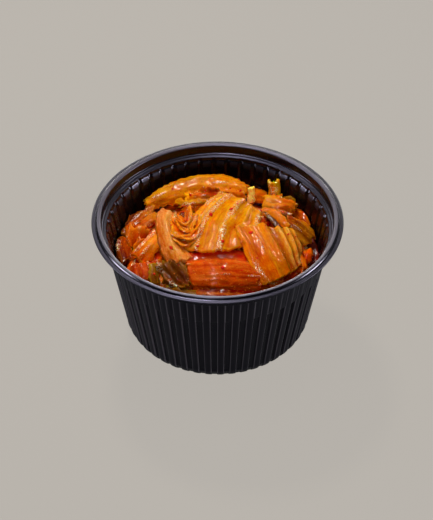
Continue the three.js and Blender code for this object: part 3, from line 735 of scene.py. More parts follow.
# Every piece that is a node: its spine is in hundredths of the node's box.
leaves = {
    "right_leaf": dict(
        kind="goldenLeaf", seed=3, thickness=(1.7, 1), width=[27, 28, 28, 27], roll=[-14, -17, -20, -22],
        cup=[24, 36, 44, 40], spine=[(42, 80, 80), (52, 62, 74), (62, 42, 57), (75, 25, 31)], bulge=1.5,
        slant=(-2, 3), fine=0.3,
        ridges=[
            (-0.9, -0.93, 0.6, 1), (-0.66, -0.68, 0.9, 1.1), (-0.38, -0.42, 0.8, 0.9),
            (0.12, 0.02, 1.6, 1.7), (0.5, 0.4, 0.6, 1.6), (0.9, 0.82, 1.2, 1.4),
        ],
        teeth=1.5, streak=1,
        # the pale bands over the left ridges are painted highlight streaks; the darker bands between them and
        # the brown band beside the big fold are painted shade
        bands=[
            (-1, "#d47420"), (-0.9, "#f0c890"), (-0.8, "#c48838"), (-0.66, "#fce0b0"), (-0.52, "#bc8c30"),
            (-0.4, "#f8d4a0"), (-0.26, "#c89030"), (-0.12, "#a8641c"), (0.05, "#f09c0c"), (0.3, "#f4a40c"),
            (0.65, "#ee8c0c"), (1, "#f08a0c"),
        ],
        banding=0.65, colours="#f2b408 #f0a010 #e4801a #d06c1c", deep="#c04a04", lean=0.6, rim="#f4b428",
        light=0.95,
    ),
    "centre_leaf": dict(
        kind="goldenLeaf", seed=4, thickness=(1.7, 1), width=[21, 24, 29, 33], roll=[-6, -4, 0, 4],
        cup=[24, 34, 44, 46], spine=[(75, 87, 54), (64.5, 68, 73), (51, 39, 78), (41, 1, 56)], bulge=7.5,
        slant=(-1, 4), fine=0.3,
        ridges=[
            (0.92, 0.88, 0.8, 1.3), (0.72, 0.68, 0.5, 1.2), (0.5, 0.46, 1.3, 1.7), (0.2, 0.15, 0.4, 1.2),
            (-0.08, -0.12, 1.3, 1.7), (-0.5, -0.52, 0.35, 1.2), (-0.93, -0.88, 1.2, 1.5),
        ],
        wet=0.8, streak=1.5,
        # the paler bands at -0.88, 0.04 and 0.7 lie over ridges as painted highlight streaks
        bands=[
            (-1, "#f09450"), (-0.88, "#f8b060"), (-0.75, "#fcb80c"), (-0.3, "#fcbc14"), (-0.1, "#f4b838"),
            (0.04, "#f8c870"), (0.2, "#f4ac04"), (0.5, "#f2a810"), (0.7, "#f4bc50"), (0.85, "#f0a010"),
            (1, "#d87410"),
        ],
        colours="#f8bc0c #f4a80c #ee9010 #cc5006", deep="#cc4804", lean=0.65, rim="#f8b030",
        rich=(1.15, 1.1, 1.7), light=0.9,
    ),
    "heart_stem": dict(
        kind="paleStem", seed=5, thickness=(3, 1.6), width=[9, 11.5, 13, 14, 13.5],
        roll=[-38, -42, -40, -26, -6], cup=[30],
        spine=[(36, 98, 55), (31, 76, 62), (38, 48, 57), (53, 27, 43), (73, 9, 24)], square=6,
        ridges=[(-0.45, -0.45, 0.3, 1.6), (0.3, 0.3, 0.35, 1.6)], wrinkle=0.14, streak=1,
        bands=[
            (-1, "#b43c06"), (-0.75, "#d06814"), (-0.3, "#f0a45c"), (0.05, "#fcd09c"), (0.45, "#f0b050"),
            (0.75, "#e8981c"), (1, "#dc8c14"),
        ],
        banding=0.85, colours="#e8a038 #eca448 #e8943c #e48430 #dc7020", deep="#c85810", lean=0.35,
        rich=(1.1, 1.25, 1.8), light=0.83,
    ),
    "back_leaf": dict(
        kind="shadedLeaf", seed=9, thickness=(2.2, 1.2), width=[4, 9.5, 12.5, 12.5, 7.5],
        roll=[24, 30, 28, 26, 24], cup=[60, 64, 60, 56, 50],
        spine=[(2, 12, 20), (23, 38, 48), (49, 57, 66), (75, 58, 68), (97, 38, 59)],
        ridges=[
            (-0.75, -0.6, 0.5, 1.3), (-0.1, -0.25, 0.75, 1.6), (0.45, 0.35, 0.5, 1.3), (0.9, 0.9, 0.5, 1.2),
        ],
        ragged=0.8, wet=0.3, streak=0.8,
        bands=[(-1, "#b89c0c"), (-0.5, "#d4a410"), (-0.1, "#e8ac38"), (0.35, "#e89c14"), (1, "#e88414")],
        banding=0.7, colours="#cc8c10 #dca014 #e8a02c #f48c24 #f8700c", deep="#cc6408", lean=0.5,
        rim="#ecc038", light=0.94,
    ),
    "front_stem": dict(
        kind="redStem", seed=10, thickness=(3.4, 2), width=[11.5, 13, 12.5, 10], roll=[20, 20, 20, 16],
        cup=[24], spine=[(4, 54, 49), (35, 48, 63), (64, 48, 58), (94, 54, 31)], square=4, slant=(1.5, -2),
        ridges=[
            (0.85, 0.8, 0.3, 1.2), (0.5, 0.55, 0.3, 0.9), (0.15, 0.2, 0.4, 1.1), (-0.2, -0.1, 0.3, 0.9),
            (-0.65, -0.55, 0.4, 1.2),
        ],
        wrinkle=0.12, wet=0.5, streak=0.8, gleam=0.2,
        bands=[
            (-1, "#e89040"), (-0.62, "#e8802c"), (-0.4, "#c84c10"), (-0.15, "#e88430"), (0.02, "#c24008"),
            (0.2, "#e07c28"), (0.36, "#bc3c08"), (0.55, "#dc6814"), (0.7, "#b83806"), (0.85, "#e07420"),
            (1, "#c84c0c"),
        ],
        banding=0.35, colours="#dc6c1c #dc7022 #d8661e #cc5818", deep="#a83006", lean=0.35, light=0.95,
        layers=[
            ((0.6, -2.6, -2), dict(width=[9, 10, 10, 7], roll=[30, 34, 32, 26])),
            ((0.4, 2.2, -1.2), dict(width=[9, 10, 10, 7], roll=[4, 2, 2, 4])),
        ],
    ),
    "green_leaf": dict(
        kind="darkLeaf", seed=11, thickness=(1.3, 0.8), width=[8, 12, 12, 6], roll=[0, 6, 8, 10],
        cup=[70, 90, 84, 70], spine=[(20, 83, 83), (46, 56, 75), (67, 31, 60), (86, 10, 33)],
        ridges=[
            (-0.75, -0.5, 1.1, 0.8), (-0.3, -0.1, 1.5, 0.9), (0.2, 0.3, 1.2, 0.8), (0.7, 0.65, 1.4, 0.9),
        ],
        wrinkle=0.7, grain=2, ruffle=1, ragged=1.2, wet=0.55, gleam=0.1,
        colours="#a8801c #885410 #743c08 #80480c", left="#b8901c", right="#b08020", deep="#280600", lean=1,
        rim="#c09424", rich=(1, 1.25, 1.8), light=0.6,
    ),
    "green_stalk": dict(
        kind="oliveLeaf", seed=12, thickness=(2.2, 1.2), width=[3.6, 4.4, 4.6], roll=[-20], cup=[60],
        spine=[(41, 97, 79), (43, 51, 62), (56, 7, 27)], wrinkle=0.3, ragged=0.8,
        colours="#b0941a #a8781c #8a5610", deep="#4a2406", rim="#c8a830",
    ),
    "green_roll": dict(
        kind="oliveLeaf", seed=13, thickness=(2.4, 1), width=[4, 4.6, 4.2, 3], roll=[24], cup=[80],
        spine=[(4, 78, 49), (35, 48, 54), (67, 33, 54), (98, 20, 43)], wrinkle=0.4, ruffle=0.4,
        colours="#6a480c #987018 #a07818 #7c5414", deep="#241204", lean=0.7, rim="#b89428",
    ),
    "left_twist": dict(
        kind="orangeLeaf", seed=14, thickness=(1.8, 1), width=[8, 9, 8.5, 6.5], roll=[14, 6, -4, 4],
        cup=[50], spine=[(20, 16, 31), (43, 36, 56), (65, 62, 79), (80, 89, 79)],
        ridges=[(-0.5, -0.6, 0.9, 1.2), (0.1, 0.2, 0.7, 1.3), (0.8, 0.7, 0.9, 1.2)], wrinkle=0.5,
        ruffle=0.5, ragged=1, wet=0.55, streak=1.1, colours="#e06418 #ec7c14 #f69a14 #f08a14",
        deep="#c04808", lean=0.35, rim="#f8a828", rich=(1, 1, 1.4), light=0.95,
    ),
    "left_cup": dict(
        kind="orangeLeaf", seed=15, thickness=(1.5, 0.9), width=[9.5, 9.5, 8, 5], roll=[4, 0, -4, -6],
        cup=[120, 110, 90, 60], spine=[(64, 56, 95), (59, 44, 66), (55, 34, 35), (54, 24, 0)],
        face=(0, -0.7, 0.7), fine=0.3,
        ridges=[(-0.92, -0.8, 0.4, 1), (-0.1, 0, 0.4, 1.2), (0.92, 0.8, 0.5, 1)], teeth=2.6, wrinkle=0.4,
        ragged=0.8, wet=0.5, colours="#f48a14 #ec7410 #e0600c #c84408", left="#d85408", right="#f08c1c",
        deep="#c03c06", lean=0.4, rim="#fcb43c", light=0.8,
        layers=[
            ((-0.5, 5, -0.6), dict(width=[8, 10, 9, 6], cup=[60], face=(0, -0.3, 1), teeth=0)),
            ((3, -3, -1.6), dict(width=[7, 8, 8, 6], cup=[50], face=(0.2, -0.5, 1), teeth=0)),
        ],
    ),
    "left_chunk": dict(
        kind="orangeLeaf", seed=16, thickness=(3.4, 2.2), width=[6, 8.6, 8.6, 6], roll=[-16], cup=[60],
        spine=[(35, 98, 44), (38, 67, 60), (51, 34, 64), (68, 7, 52)], square=5, wrinkle=0.3, ragged=0.8,
        # painted light and shade: one side bright orange and the other near black, darker towards the end of
        # its spine
        colours="#c8580c #c8540a #b84408 #8c2804", left="#f8a434", right="#4c1002", deep="#a83404",
        light=0.54,
    ),
    "left_slab": dict(
        kind="redStem", seed=17, thickness=(2.2, 1.3), width=[12, 13, 11], roll=[-14], cup=[50],
        spine=[(53, 7, 50), (47, 51, 68), (44, 95, 73)],
        ridges=[(-0.8, -0.8, 0.6, 1), (-0.3, -0.25, 0.8, 1.1), (0.2, 0.15, 0.6, 1), (0.7, 0.6, 0.8, 1)],
        wrinkle=0.4, wet=0.6, streak=0.9, colours="#bb3c0c #cc5018 #d86020", deep="#8a1e04", rim="#e88830",
        light=0.74,
    ),
    "left_ridge": dict(
        kind="orangeLeaf", seed=18, thickness=(1.6, 0.9), width=[6, 8, 8, 5], roll=[-12, -10, -8, -6],
        cup=[90], spine=[(87, 81, 83), (60, 65, 71), (33, 41, 52), (8, 10, 23)],
        ridges=[
            (-0.8, -0.7, 0.9, 0.9), (-0.2, -0.3, 0.8, 1), (0.35, 0.25, 0.9, 0.9), (0.85, 0.8, 0.7, 0.9),
        ],
        wrinkle=0.8, grain=2.2, ruffle=1.1, ragged=1.3, wet=0.4, streak=0.9,
        # its right side is darker: painted shade
        colours="#ec9420 #e07818 #d85c10 #c04408", left="#d86c14", right="#b03806", deep="#9e2c04",
        lean=0.5, rim="#f8b040", rich=(1, 0.95, 1.3), light=0.68,
        layers=[
            ((1.6, -2.6, -0.6), dict(width=[5, 6, 6, 4], roll=[10], colours="#ec8c20 #e06c14 #d04c08")),
        ],
    ),
    "right_strip": dict(
        kind="orangeLeaf", seed=19, thickness=(1.7, 1), width=[3.5, 4.8, 4.8, 3.4], roll=[26], cup=[50],
        spine=[(11, 88, 56), (41, 59, 77), (73, 29, 56), (90, 7, 31)], wrinkle=0.3, ragged=0.8,
        colours="#f09412 #f6a010 #f09010 #e07410", deep="#c85008", rim="#f8b428", rich=(1.1, 1, 1.6),
    ),
    "green_strip": dict(
        kind="darkLeaf", seed=20, thickness=(1, 0.7), width=[0.8, 2.2, 2.8], roll=[16],
        spine=[(3, 112, 86), (51, 61, 80), (99, 12, 40)], fine=0.3, wrinkle=0.1, ragged=0.2,
        colours="#7a5c20 #6c4c18 #5c3c10", deep="#3c2408",
    ),
    "right_slab": dict(
        kind="goldenLeaf", seed=21, thickness=(2.2, 1.3), width=[8, 9.5, 9.5, 8], roll=[14], cup=[44],
        spine=[(13, 69, 79), (42, 54, 70), (66, 37, 51), (85, 20, 26)],
        ridges=[(-0.6, -0.5, 0.8, 1.2), (0, 0.1, 0.7, 1.3), (0.8, 0.7, 0.9, 1.2)], wrinkle=0.35, ragged=0.8,
        wet=0.15, streak=0.6, colours="#d86018 #cc7418 #c07c14 #946008", deep="#8a3806", rim="#d8a028",
        light=0.53,
    ),
    "right_lump": dict(
        kind="orangeLeaf", seed=22, thickness=(2, 1.2), width=[9, 12, 11.5, 8], roll=[12], cup=[90],
        spine=[(8, 61, 53), (35, 48, 76), (64, 39, 67), (90, 30, 39)],
        ridges=[(-0.8, -0.6, 0.8, 0.9), (-0.3, -0.4, 1, 0.9), (0.2, 0, 0.7, 0.8), (0.6, 0.5, 1, 0.9)],
        wrinkle=0.9, grain=2.6, ruffle=1.3, ragged=1.4, wet=0.35, streak=0.8,
        colours="#f4a81c #f4982c #d8641c #a84410", right="#c85014", deep="#8a2404", lean=0.75,
        rim="#f8b838", rich=(1, 0.9, 1.5), light=0.88,
    ),
    "right_chunk": dict(
        kind="orangeLeaf", seed=23, thickness=(2.8, 1.8), width=[4.4, 5.8, 5.8, 4.2], roll=[14], cup=[50],
        spine=[(18, 85, 46), (46, 64, 67), (72, 37, 63), (92, 9, 34)], square=5, wrinkle=0.25,
        # both sides darker than the orange top: painted shade
        colours="#e06a10 #e87410 #d85c0c", left="#a83c08", right="#b84c10", deep="#a83804", light=0.66,
    ),
    "right_curl": dict(
        kind="goldenLeaf", seed=24, thickness=(1.6, 1), width=[7, 8, 9, 8], cup=[150, 210, 260, 240],
        spine=[(46, 2, 8), (55, 25, 39), (57, 45, 67), (49, 60, 100)], face=(0, -1, 0.3), wrinkle=0.3,
        ragged=1, colours="#e88c10 #e89818 #d8a024 #c09420", deep="#d8840c", lean=0.1, rim="#d0a02c",
        rich=(1, 0.8, 1.6), light=1.15,
    ),
    "olive_curl": dict(
        kind="oliveLeaf", seed=25, thickness=(1.4, 0.8), width=[2.6, 3.8, 3.8, 2.6], roll=[20], cup=[110],
        spine=[(10, 73, 22), (40, 60, 76), (66, 35, 65), (79, 6, 28)], lift=(-1.6, -1.2, -0.6), fine=0.3,
        wrinkle=0.5, ruffle=0.7, ragged=1, colours="#dcb01c #d4a41c #bc8414", deep="#6c4408", rim="#d8b834",
        rich=(1, 0.9, 1.2), light=0.6,
    ),
    "back_stub": dict(
        kind="paleStem", seed=26, thickness=(2, 1.4), width=[3, 3, 2.6],
        spine=[(45, 0, 4), (52, 45, 49), (55, 85, 99)], lift=(0, -0.4, 0.8), face=(0, -1, 0.3), fine=0.3,
        wrinkle=0.12, colours="#fcc478 #fcc888 #e8b478", deep="#e8a040", lean=0.1, rich=(1, 1, 1.5),
        light=2.6,
    ),
    "back_flap": dict(
        kind="orangeLeaf", seed=27, thickness=(1.7, 1), width=[7, 8, 6], roll=[14], cup=[50],
        spine=[(3, 47, 51), (49, 49, 72), (92, 39, 56)], wrinkle=0.5, ruffle=0.4, ragged=1,
        colours="#dc7410 #e07c10 #cc6410", deep="#a84806", rich=(1, 0.95, 1.4), light=0.88,
    ),
    "back_crinkle": dict(
        kind="oliveLeaf", seed=28, thickness=(1.6, 0.9), width=[8, 11, 12, 9], roll=[24], cup=[20],
        spine=[(1, 54, 41), (34, 48, 63), (70, 54, 67), (97, 69, 56)], lift=(0.8, -1.4, 1.3), wrinkle=0.9,
        grain=1.8, ruffle=1.6, ragged=1.6, colours="#d8a818 #b4701c #8c3810 #a86820", deep="#6a2404",
        lean=0.9, rim="#b88a2c", light=1.9,
        layers=[
            ((-3, -1.6, 0.4), dict(width=[3, 4, 4, 3], ruffle=1.2, cup=[120], colours="#b48c14 #a07810")),
        ],
    ),
    "tucked_leaf": dict(
        kind="redStem", seed=29, thickness=(1.7, 1), width=[8, 9.5, 9.5, 8], roll=[24], cup=[20],
        spine=[(0, 49, 49), (34, 51, 59), (68, 53, 63), (97, 38, 42)], lift=(0, 0, 0.6), wrinkle=0.25,
        wet=0, colours="#f05c10 #dc3006 #d02404 #e8440c", deep="#b82402", lean=0.4, rich=(1, 1.7, 2),
    ),
    "front_under_stem": dict(
        kind="redStem", seed=30, thickness=(2.6, 1.5), width=[6, 7, 7, 5], roll=[24], cup=[40],
        spine=[(2, 64, 57), (33, 47, 65), (66, 44, 61), (98, 67, 38)],
        ridges=[(-0.6, -0.6, 0.5, 1), (0.1, 0.1, 0.6, 1.1)], wrinkle=0.3, wet=0,
        colours="#b02c04 #b83408 #b03004 #a82804", deep="#7a1802", rich=(1, 2.2, 2.6), light=0.4,
    ),
}


def makeLeaves():
    pieces = []
    for node, look in leaves.items():
        spine = spineInBox(node, look["spine"]) + look.get("lift", (0, 0, 0))
        parts = [buildStrip(spine, look)]
        for k, (shift, changes) in enumerate(look.get("layers", [])):
            under = {**look, "seed": look["seed"] + 50 + k, **changes}
            parts.append(buildStrip(spine + shift, under))
        pieces.append(makeCabbage(node, parts, look["kind"]))
    return pieces


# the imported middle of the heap

core = {
    "foot": 38.5, "level": 33.2, "crown": 41.5, "roundness": 2.4, "rows": 110, "columns": 260,
    "lumps": 1.5, "lumpSize": 4.6, "folds": 0.5, "foldSize": (2.2, 5.5, 1), "warp": 3, "warpSize": 9,
    # the valley colour in the hollows and on the hidden walls is painted shade; the bright colour on the lump
    # tops is painted light
    "colour": "#ff8a18", "deep": "#f05c0a", "bright": "#ffac34",
}


def coreHeight(x, y):
    share = np.clip(np.hypot(x, y) / core["foot"], 0, 1)
    return core["level"] + (core["crown"] - core["level"]) * (1 - share ** core["roundness"])


def makeCore():
    rows, columns = core["rows"], core["columns"]
    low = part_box("kimchi_bed")[0][2] / mm
    steps = np.linspace(0.002, 1, rows)
    angles, flow = disc(core["foot"] * steps, columns)
    bent = np.stack([smoothNoise(flow / core["warpSize"], k) for k in (1, 2, 3)], -1)
    warp = flow + core["warp"] * bent
    lumps = roughNoise(warp / core["lumpSize"], 8, 4)
    folds = 1 - np.abs(smoothNoise(warp / core["foldSize"], 9)) * 2
    relief = core["lumps"] * lumps + core["folds"] * folds
    dome = flow.copy()
    dome[..., 2] = coreHeight(*flow[..., :2].transpose(2, 0, 1)) + relief * (1 - steps[:, None] ** 6)
    side = core["foot"] + 0.8
    walls = [(side, 31), (side, 20), (34, 6), (30, low), (0.1, low)]
    rings = [dome.reshape(-1, 3)] + [ring(*wall, angles) for wall in walls]
    faces = [face[::-1] for face in turnedSolid(rows + len(walls), columns)]
    points = np.vstack(rings)
    height = np.concatenate([relief.ravel(), np.full(len(walls) * columns, -1.0)])
    # painted shade in the hollows and on the walls, painted light on the lump tops
    tones = blend(rgb(core["colour"]), rgb(core["deep"]), ease(-height, -0.3, 1.2)[:, None])
    tones = blend(tones, rgb(core["bright"]), ease(height, 0.4, 1.6)[:, None])
    lay = np.c_[points[:, 0], points[:, 1], np.clip(height / 3 + 0.5, 0, 1)]
    return makePiece("packedCabbage", points, faces, *paintFor("redStem"), ["kimchi_bed"], tones, lay)


# Smaller pieces that fill between the big ones. Placed: the middle, length, width, heading and two colours.
scraps = {
    "count": 90, "length": (6, 13), "width": (3.5, 7.5), "seed": 5, "spread": 36.5, "reach": 38.6,
    "turn": 0.7, "bow": 2, "above": 0.9, "droop": 2.4, "unevenness": (-0.3, 0.5), "roll": 30,
    "cup": (20, 120),
    "colours": ["#dc641c", "#e88424", "#d4500e", "#f0962a", "#c8440c", "#e4761c"],
    "placed": [
        ((-22, -4.5), 13, 8, 1.8, "#f8560a", "#e03804"),
        ((-14.5, -10.5), 11, 7, 0.4, "#e83c04", "#c82402"),
        # this dark red scrap fills a gap as painted shade
        ((18.5, 12.5), 9, 6, 1, "#c41c02", "#a81402"),
        ((-27, -12), 10, 6, 0.8, "#f06414", "#d83c06"),
        ((-29, 5), 9, 6, 2, "#f4700c", "#d84406"),
    ],
    "leaf": {"depth": 0.4, "wrinkle": 0.45, "ragged": 0.8, "fine": 0.55}, "firstSeed": 40,
}


# The heart of the cabbage: thin leaves nested in each other, between three spines from the middle out.
heart = {
    "nodes": ["heart_fold_inner", "heart_fold_middle", "heart_fold_outer"],
    "spines": [
        [(11, 95, 43), (24, 34, 51), (58, 3, 51), (84, 37, 51), (89, 99, 40)],
        [(8, 99, 35), (16, 41, 45), (50, 9, 52), (86, 38, 56), (93, 99, 45)],
        [(-2, 172, 6), (10, 71, 19), (51, 23, 28), (89, 65, 42), (108, 161, 42)],
    ],
    "places": [-0.5, -0.22, 0.08, 0.36, 0.66, 0.98, 1.26, 1.58, 1.86],
    "colours": ["#f49410", "#ea7410", "#f08410", "#e46a10"],
    "roll": (-52, -46, -44, -54), "turn": (6, 7, 7, 5),  # degrees, and how much they turn from place to place
    "tilt": 5, "trim": 0.18, "stray": 0.55, "seed": 17, "firstSeed": 60,
    "leaf": {
        "thickness": (1.2, 0.7), "width": [3, 4.6, 5.4, 4.8, 3], "cup": [-30], "fine": 0.32, "wrinkle": 0.4,
        "grain": 1.8, "ruffle": 0.4, "ragged": 1, "wet": 0.7, "left": "#d45408", "right": "#f4a41c",
        "deep": "#cc4c08", "rim": "#ffb848", "rich": (1, 1.15, 1.5), "light": 0.92,
    },
}


def makeHeart():
    rng = np.random.default_rng(heart["seed"])
    spines = [spineInBox(node, shares) for node, shares in zip(heart["nodes"], heart["spines"])]
    groups = [[], [], []]
    for k, place in enumerate(heart["places"]):
        low = min(max(int(math.floor(place)), 0), 1)
        spine = blend(spines[low], spines[low + 1], place - low)
        trim = rng.uniform(0.0, heart["trim"]), 1 - rng.uniform(0.0, heart["trim"])
        spine = through(spine, np.linspace(*trim, 6)) + rng.normal(0, heart["stray"], (6, 3)) * (1, 1, 1.1)
        tilt = rng.normal(0, heart["tilt"], 4)[:3]
        look = {
            **heart["leaf"],
            "seed": heart["firstSeed"] + k,
            "colours": " ".join(heart["colours"][(k + step) % 4] for step in range(3)),
            "roll": np.array(heart["roll"]) + np.array(heart["turn"]) * place + (*tilt, 0),
        }
        groups[min(max(round(place), 0), 2)].append(buildStrip(spine, look))
    return [makeCabbage(node, group, "orangeLeaf") for node, group in zip(heart["nodes"], groups)]


def makeScraps():
    rng = np.random.default_rng(scraps["seed"])
    parts = []
    for k in range(scraps["count"] + len(scraps["placed"])):
        x, y, around = randomSpot(scraps["spread"], rng)
        length = rng.uniform(*scraps["length"])
        width = rng.uniform(*scraps["width"])
        heading = around + math.pi / 2 + rng.normal(0, scraps["turn"])
        first, second = rng.choice(scraps["colours"], 2, replace=False)
        if k >= scraps["count"]:
            (x, y), length, width, heading, first, second = scraps["placed"][k - scraps["count"]]
        ahead = np.array([math.cos(heading), math.sin(heading)])
        beside = np.array([-ahead[1], ahead[0]])
        bow = rng.uniform(-scraps["bow"], scraps["bow"])
        spine = []
        for step in (-0.5, -0.17, 0.17, 0.5):
            px, py = np.array([x, y]) + ahead * step * length + beside * (bow * (0.25 - step ** 2) * 2)
            limit = min(1.0, scraps["reach"] / math.hypot(px, py))
            px, py = px * limit, py * limit
            height = coreHeight(px, py) + scraps["above"] - scraps["droop"] * step ** 2
            spine.append((px, py, height + rng.uniform(*scraps["unevenness"])))
        look = {
            **scraps["leaf"],
            "width": [width * 0.7, width, width * 0.8],
            "roll": rng.uniform(-scraps["roll"], scraps["roll"], 2),
            "cup": [rng.uniform(*scraps["cup"])],
            "pleats": int(rng.integers(0, 3)),
            "colours": f"{first} {second}",
            "seed": scraps["firstSeed"] + k,
        }
        parts.append(buildStrip(spine, look))
    return makeCabbage("kimchi_bed", parts, "orangeLeaf", "smallPieces")


# oil beads on the crests and chilli flakes

beads = {"count": 3000, "size": (0.12, 0.30), "seed": 8, "sides": 6, "onDull": 0.1}
upward = 0.3  # beads and flakes lie only where a surface faces up at least so much
flakes = {
    "count": 34, "size": (0.4, 0.75), "bigSize": 1.05, "spread": 36, "seed": 21,
    "colours": ("#d01000", "#e82404"),
    "big": [  # a node, and the place in its box seen from above
        ("back_leaf", 0.78, 0.30), ("centre_leaf", 0.62, 0.62), ("centre_leaf", 0.38, 0.52),
        ("centre_leaf", 0.52, 0.12), ("heart_stem", 0.42, 0.22), ("front_stem", 0.46, 0.55),
        ("right_leaf", 0.16, 0.66),
    ],
    "outline": [1.0, 0.8, 0.95, 0.62, 0.9, 0.7, 1.0, 0.85],
    "layers": [(0.85, 0.0), (1, 0.18), (0.75, 0.32)],  # size and height, from the foot up
}


def frameFor(normals, rng):  # two sideways directions for each normal, at random turns
    spare = unit(np.cross(normals, rng.normal(size=normals.shape)))
    return spare, np.cross(normals, spare)


def beadShape():  # a low dome with a flat foot
    sides = beads["sides"]
    points = [(0, 0, -0.3)]
    for height, radius in ((-0.3, 0.95), (0.25, 0.95), (0.6, 0.5)):
        for k in range(sides):
            angle = 2 * math.pi * k / sides
            points.append((radius * math.cos(angle), radius * math.sin(angle), height))
    points.append((0, 0, 0.72))
    faces = []
    for k in range(sides):
        after = (k + 1) % sides
        faces.append((0, 1 + after, 1 + k))
        for low in (1, 1 + sides):
            faces.append((low + k, low + after, low + sides + after, low + sides + k))
        faces.append((1 + 2 * sides + k, 1 + 2 * sides + after, 1 + 3 * sides))
    return np.array(points), faces


def scatter(shape, faces, places, sizes, normals, rng):  # copies of a shape, each on its place's slope
    side, front = frameFor(normals, rng)
    stretch = rng.uniform(0.75, 1.3, (len(places), 1, 1))
    sizes = sizes[:, None, None]
    points = places[:, None, :] \
        + shape[None, :, 0, None] * side[:, None, :] * sizes * stretch \
        + shape[None, :, 1, None] * front[:, None, :] * sizes / stretch \
        + shape[None, :, 2, None] * normals[:, None, :] * sizes
    every = [[corner + k * len(shape) for corner in face] for k in range(len(places)) for face in faces]
    return points.reshape(-1, 3), every


def readPoints(values, field, count):  # three numbers for each of a mesh's points
    flat = np.zeros(count * 3)
    values.foreach_get(field, flat)
    return flat.reshape(-1, 3)


def makeBeads(pieces):  # on the shiny crests of the big leaves, where the oil gathers
    rng = np.random.default_rng(beads["seed"])
    spots, normals, weights = [], [], []
    for piece in pieces:
        mesh = piece.data
        count = len(mesh.vertices)
        normal = readPoints(mesh.vertices, "normal", count)
        shine = readPoints(mesh.attributes["lay"].data, "vector", count)[:, 2]
        spots.append(readPoints(mesh.vertices, "co", count) / mm)
        normals.append(normal)
        weights.append((beads["onDull"] + np.clip(shine, 0, 1)) * (normal[:, 2] > upward))
    spots, normals, weights = np.vstack(spots), np.vstack(normals), np.concatenate(weights)
    chosen = rng.choice(len(spots), beads["count"], replace=False, p=weights / weights.sum())
    sizes = rng.uniform(*beads["size"], beads["count"])
    points, faces = scatter(*beadShape(), spots[chosen], sizes, normals[chosen], rng)
    return makePiece("oilBeads", points, faces, beadPaint(), "sauce")


def beadPaint():
    paint = Paint("oilBead")
    where = paint.places()
    colour = paint.mix(paint.noise(where, 0.5, 2), rgba("#f09a20"), rgba("#e07010"))
    return paint.finish(Base_Color=colour, Roughness=0.10 + 0.1 * paint.noise(where, 0.3, 2),
                        Specular_IOR_Level=0.8, Coat_Weight=0.0)


def flakeShape():
    turns = [(math.cos(a), math.sin(a)) for a in np.linspace(0, 2 * math.pi, 9)[:-1]]
    points = []
    for size, height in flakes["layers"]:
        points += [(x * r * size, y * r * size, height) for (x, y), r in zip(turns, flakes["outline"])]
    faces = [tuple(range(7, -1, -1)), tuple(range(16, 24))]
    for k in range(8):
        after = (k + 1) % 8
        faces += [(k, after, 8 + after, 8 + k), (8 + k, 8 + after, 16 + after, 16 + k)]
    return np.array(points), faces


def makeFlakes(pieces):
    rng = np.random.default_rng(flakes["seed"])
    trees = []
    for piece in pieces:
        corners = [vertex.co for vertex in piece.data.vertices]
        trees.append(BVHTree.FromPolygons(corners, [face.vertices for face in piece.data.polygons]))
    down = Vector((0, 0, -1))
    wanted = []
    for node, across, back in flakes["big"]:
        low, high = [np.array(corner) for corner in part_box(node)]
        wanted.append(((low + (high - low) * (across, back, 1))[:2] / mm, flakes["bigSize"]))
    while len(wanted) < flakes["count"]:
        place = randomSpot(flakes["spread"], rng)[:2]
        wanted.append((place, rng.uniform(*flakes["size"])))
    places, normals, sizes = [], [], []
    for (x, y), size in wanted:
        best = None
        for tree in trees:
            place, normal, _, _ = tree.ray_cast(Vector((x * mm, y * mm, 0.1)), down)
            if place and (best is None or place.z > best[0].z):
                best = place, normal
        if best and best[1].z > upward:
            places.append(np.array(best[0]) / mm)
            normals.append(np.array(best[1]))
            sizes.append(size)
    points, faces = scatter(*flakeShape(), np.array(places), np.array(sizes), np.array(normals), rng)
    return makePiece("chilliFlakes", points, faces, flakePaint(), "sauce")


def flakePaint():
    paint = Paint("chilliFlake")
    where = paint.places()
    cloud = paint.noise(where, 0.8, 3)
    dark, bright = [rgba(code) for code in flakes["colours"]]
    colour = paint.mix(paint.step(cloud, 0.4, 0.7), dark, bright)
    relief = paint.bump(paint.noise(where, 4, 2), 0.4, 0.05)
    return paint.finish(Base_Color=colour, Roughness=0.55 + cloud * 0.1, Specular_IOR_Level=0.05,
                        Normal=relief)


# sauce

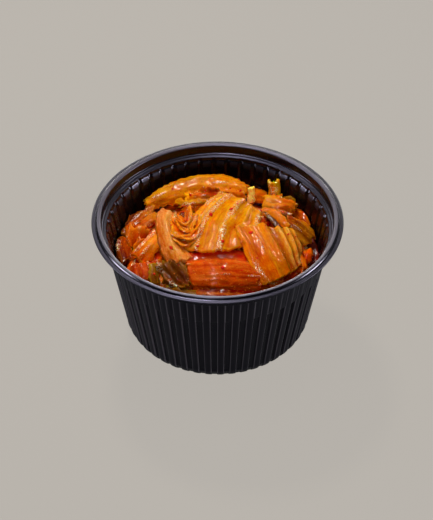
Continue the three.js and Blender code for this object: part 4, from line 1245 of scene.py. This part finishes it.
sauce = {
    "ripple": 0.22, "rippleSize": 5.5, "meniscus": 0.5, "creep": 1.6, "under": 0.25, "depth": 3.2,
    "gap": 1.35, "inner": 20, "taper": 0.6, "rows": 60, "columns": 420, "dark": "#3c0c02",
    "bright": "#7a1604",
}


def makeSauce():
    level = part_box("sauce")[1][2] / mm
    low = level - sauce["depth"]
    outer = ribRadius(level) - sauce["gap"]
    inner = sauce["inner"]
    rows, columns = sauce["rows"], sauce["columns"]
    radii = inner + (outer - inner) * np.linspace(0, 1, rows)
    angles, top = disc(radii, columns)
    creep = sauce["meniscus"] * ease(radii, outer - sauce["creep"], outer)[:, None] ** 2
    ripple = sauce["ripple"] * roughNoise(top / sauce["rippleSize"], 31, 2)
    top[..., 2] = level - sauce["under"] + ripple + creep
    points = [top.reshape(-1, 3), ring(outer - sauce["taper"], low, angles), ring(inner, low, angles)]
    count = rows + 2
    faces = turnedFaces(count, columns)
    first = np.arange(columns)
    last = (count - 1) * columns + first
    faces += np.stack([last, np.roll(last, -1), np.roll(first, -1), first], -1).tolist()
    return makePiece("chilliSauce", np.vstack(points), faces, saucePaint(), "sauce", ["sauce"])


def saucePaint():
    paint = Paint("chilliOil")
    where = paint.places()
    cloud = paint.noise(where, 0.3, 4)
    drops = paint.noise(where, 1.6, 2)
    colour = paint.mix(cloud, rgba(sauce["dark"]), rgba(sauce["bright"]))
    relief = paint.bump(drops, 0.9, 0.3)
    return paint.finish(Base_Color=colour, Roughness=0.1 + cloud * 0.08, Specular_IOR_Level=0.25,
                        Coat_Weight=0.6, Coat_Roughness=0.03, Normal=relief)


# build

makeCamera()
makeLamps()
makeRoom()
bpy.context.scene.view_settings.view_transform = "Standard"
print("camera, lamps and room")
makeTub()
print("tub")
kimchi = makeLeaves()
print("leaves", len(kimchi))
kimchi += makeHeart()
kimchi.append(makeCore())
kimchi.append(makeScraps())
print("core and small pieces")
makeBeads(kimchi)
makeFlakes(kimchi)
print("oil beads and chilli flakes")
makeSauce()
print("sauce")
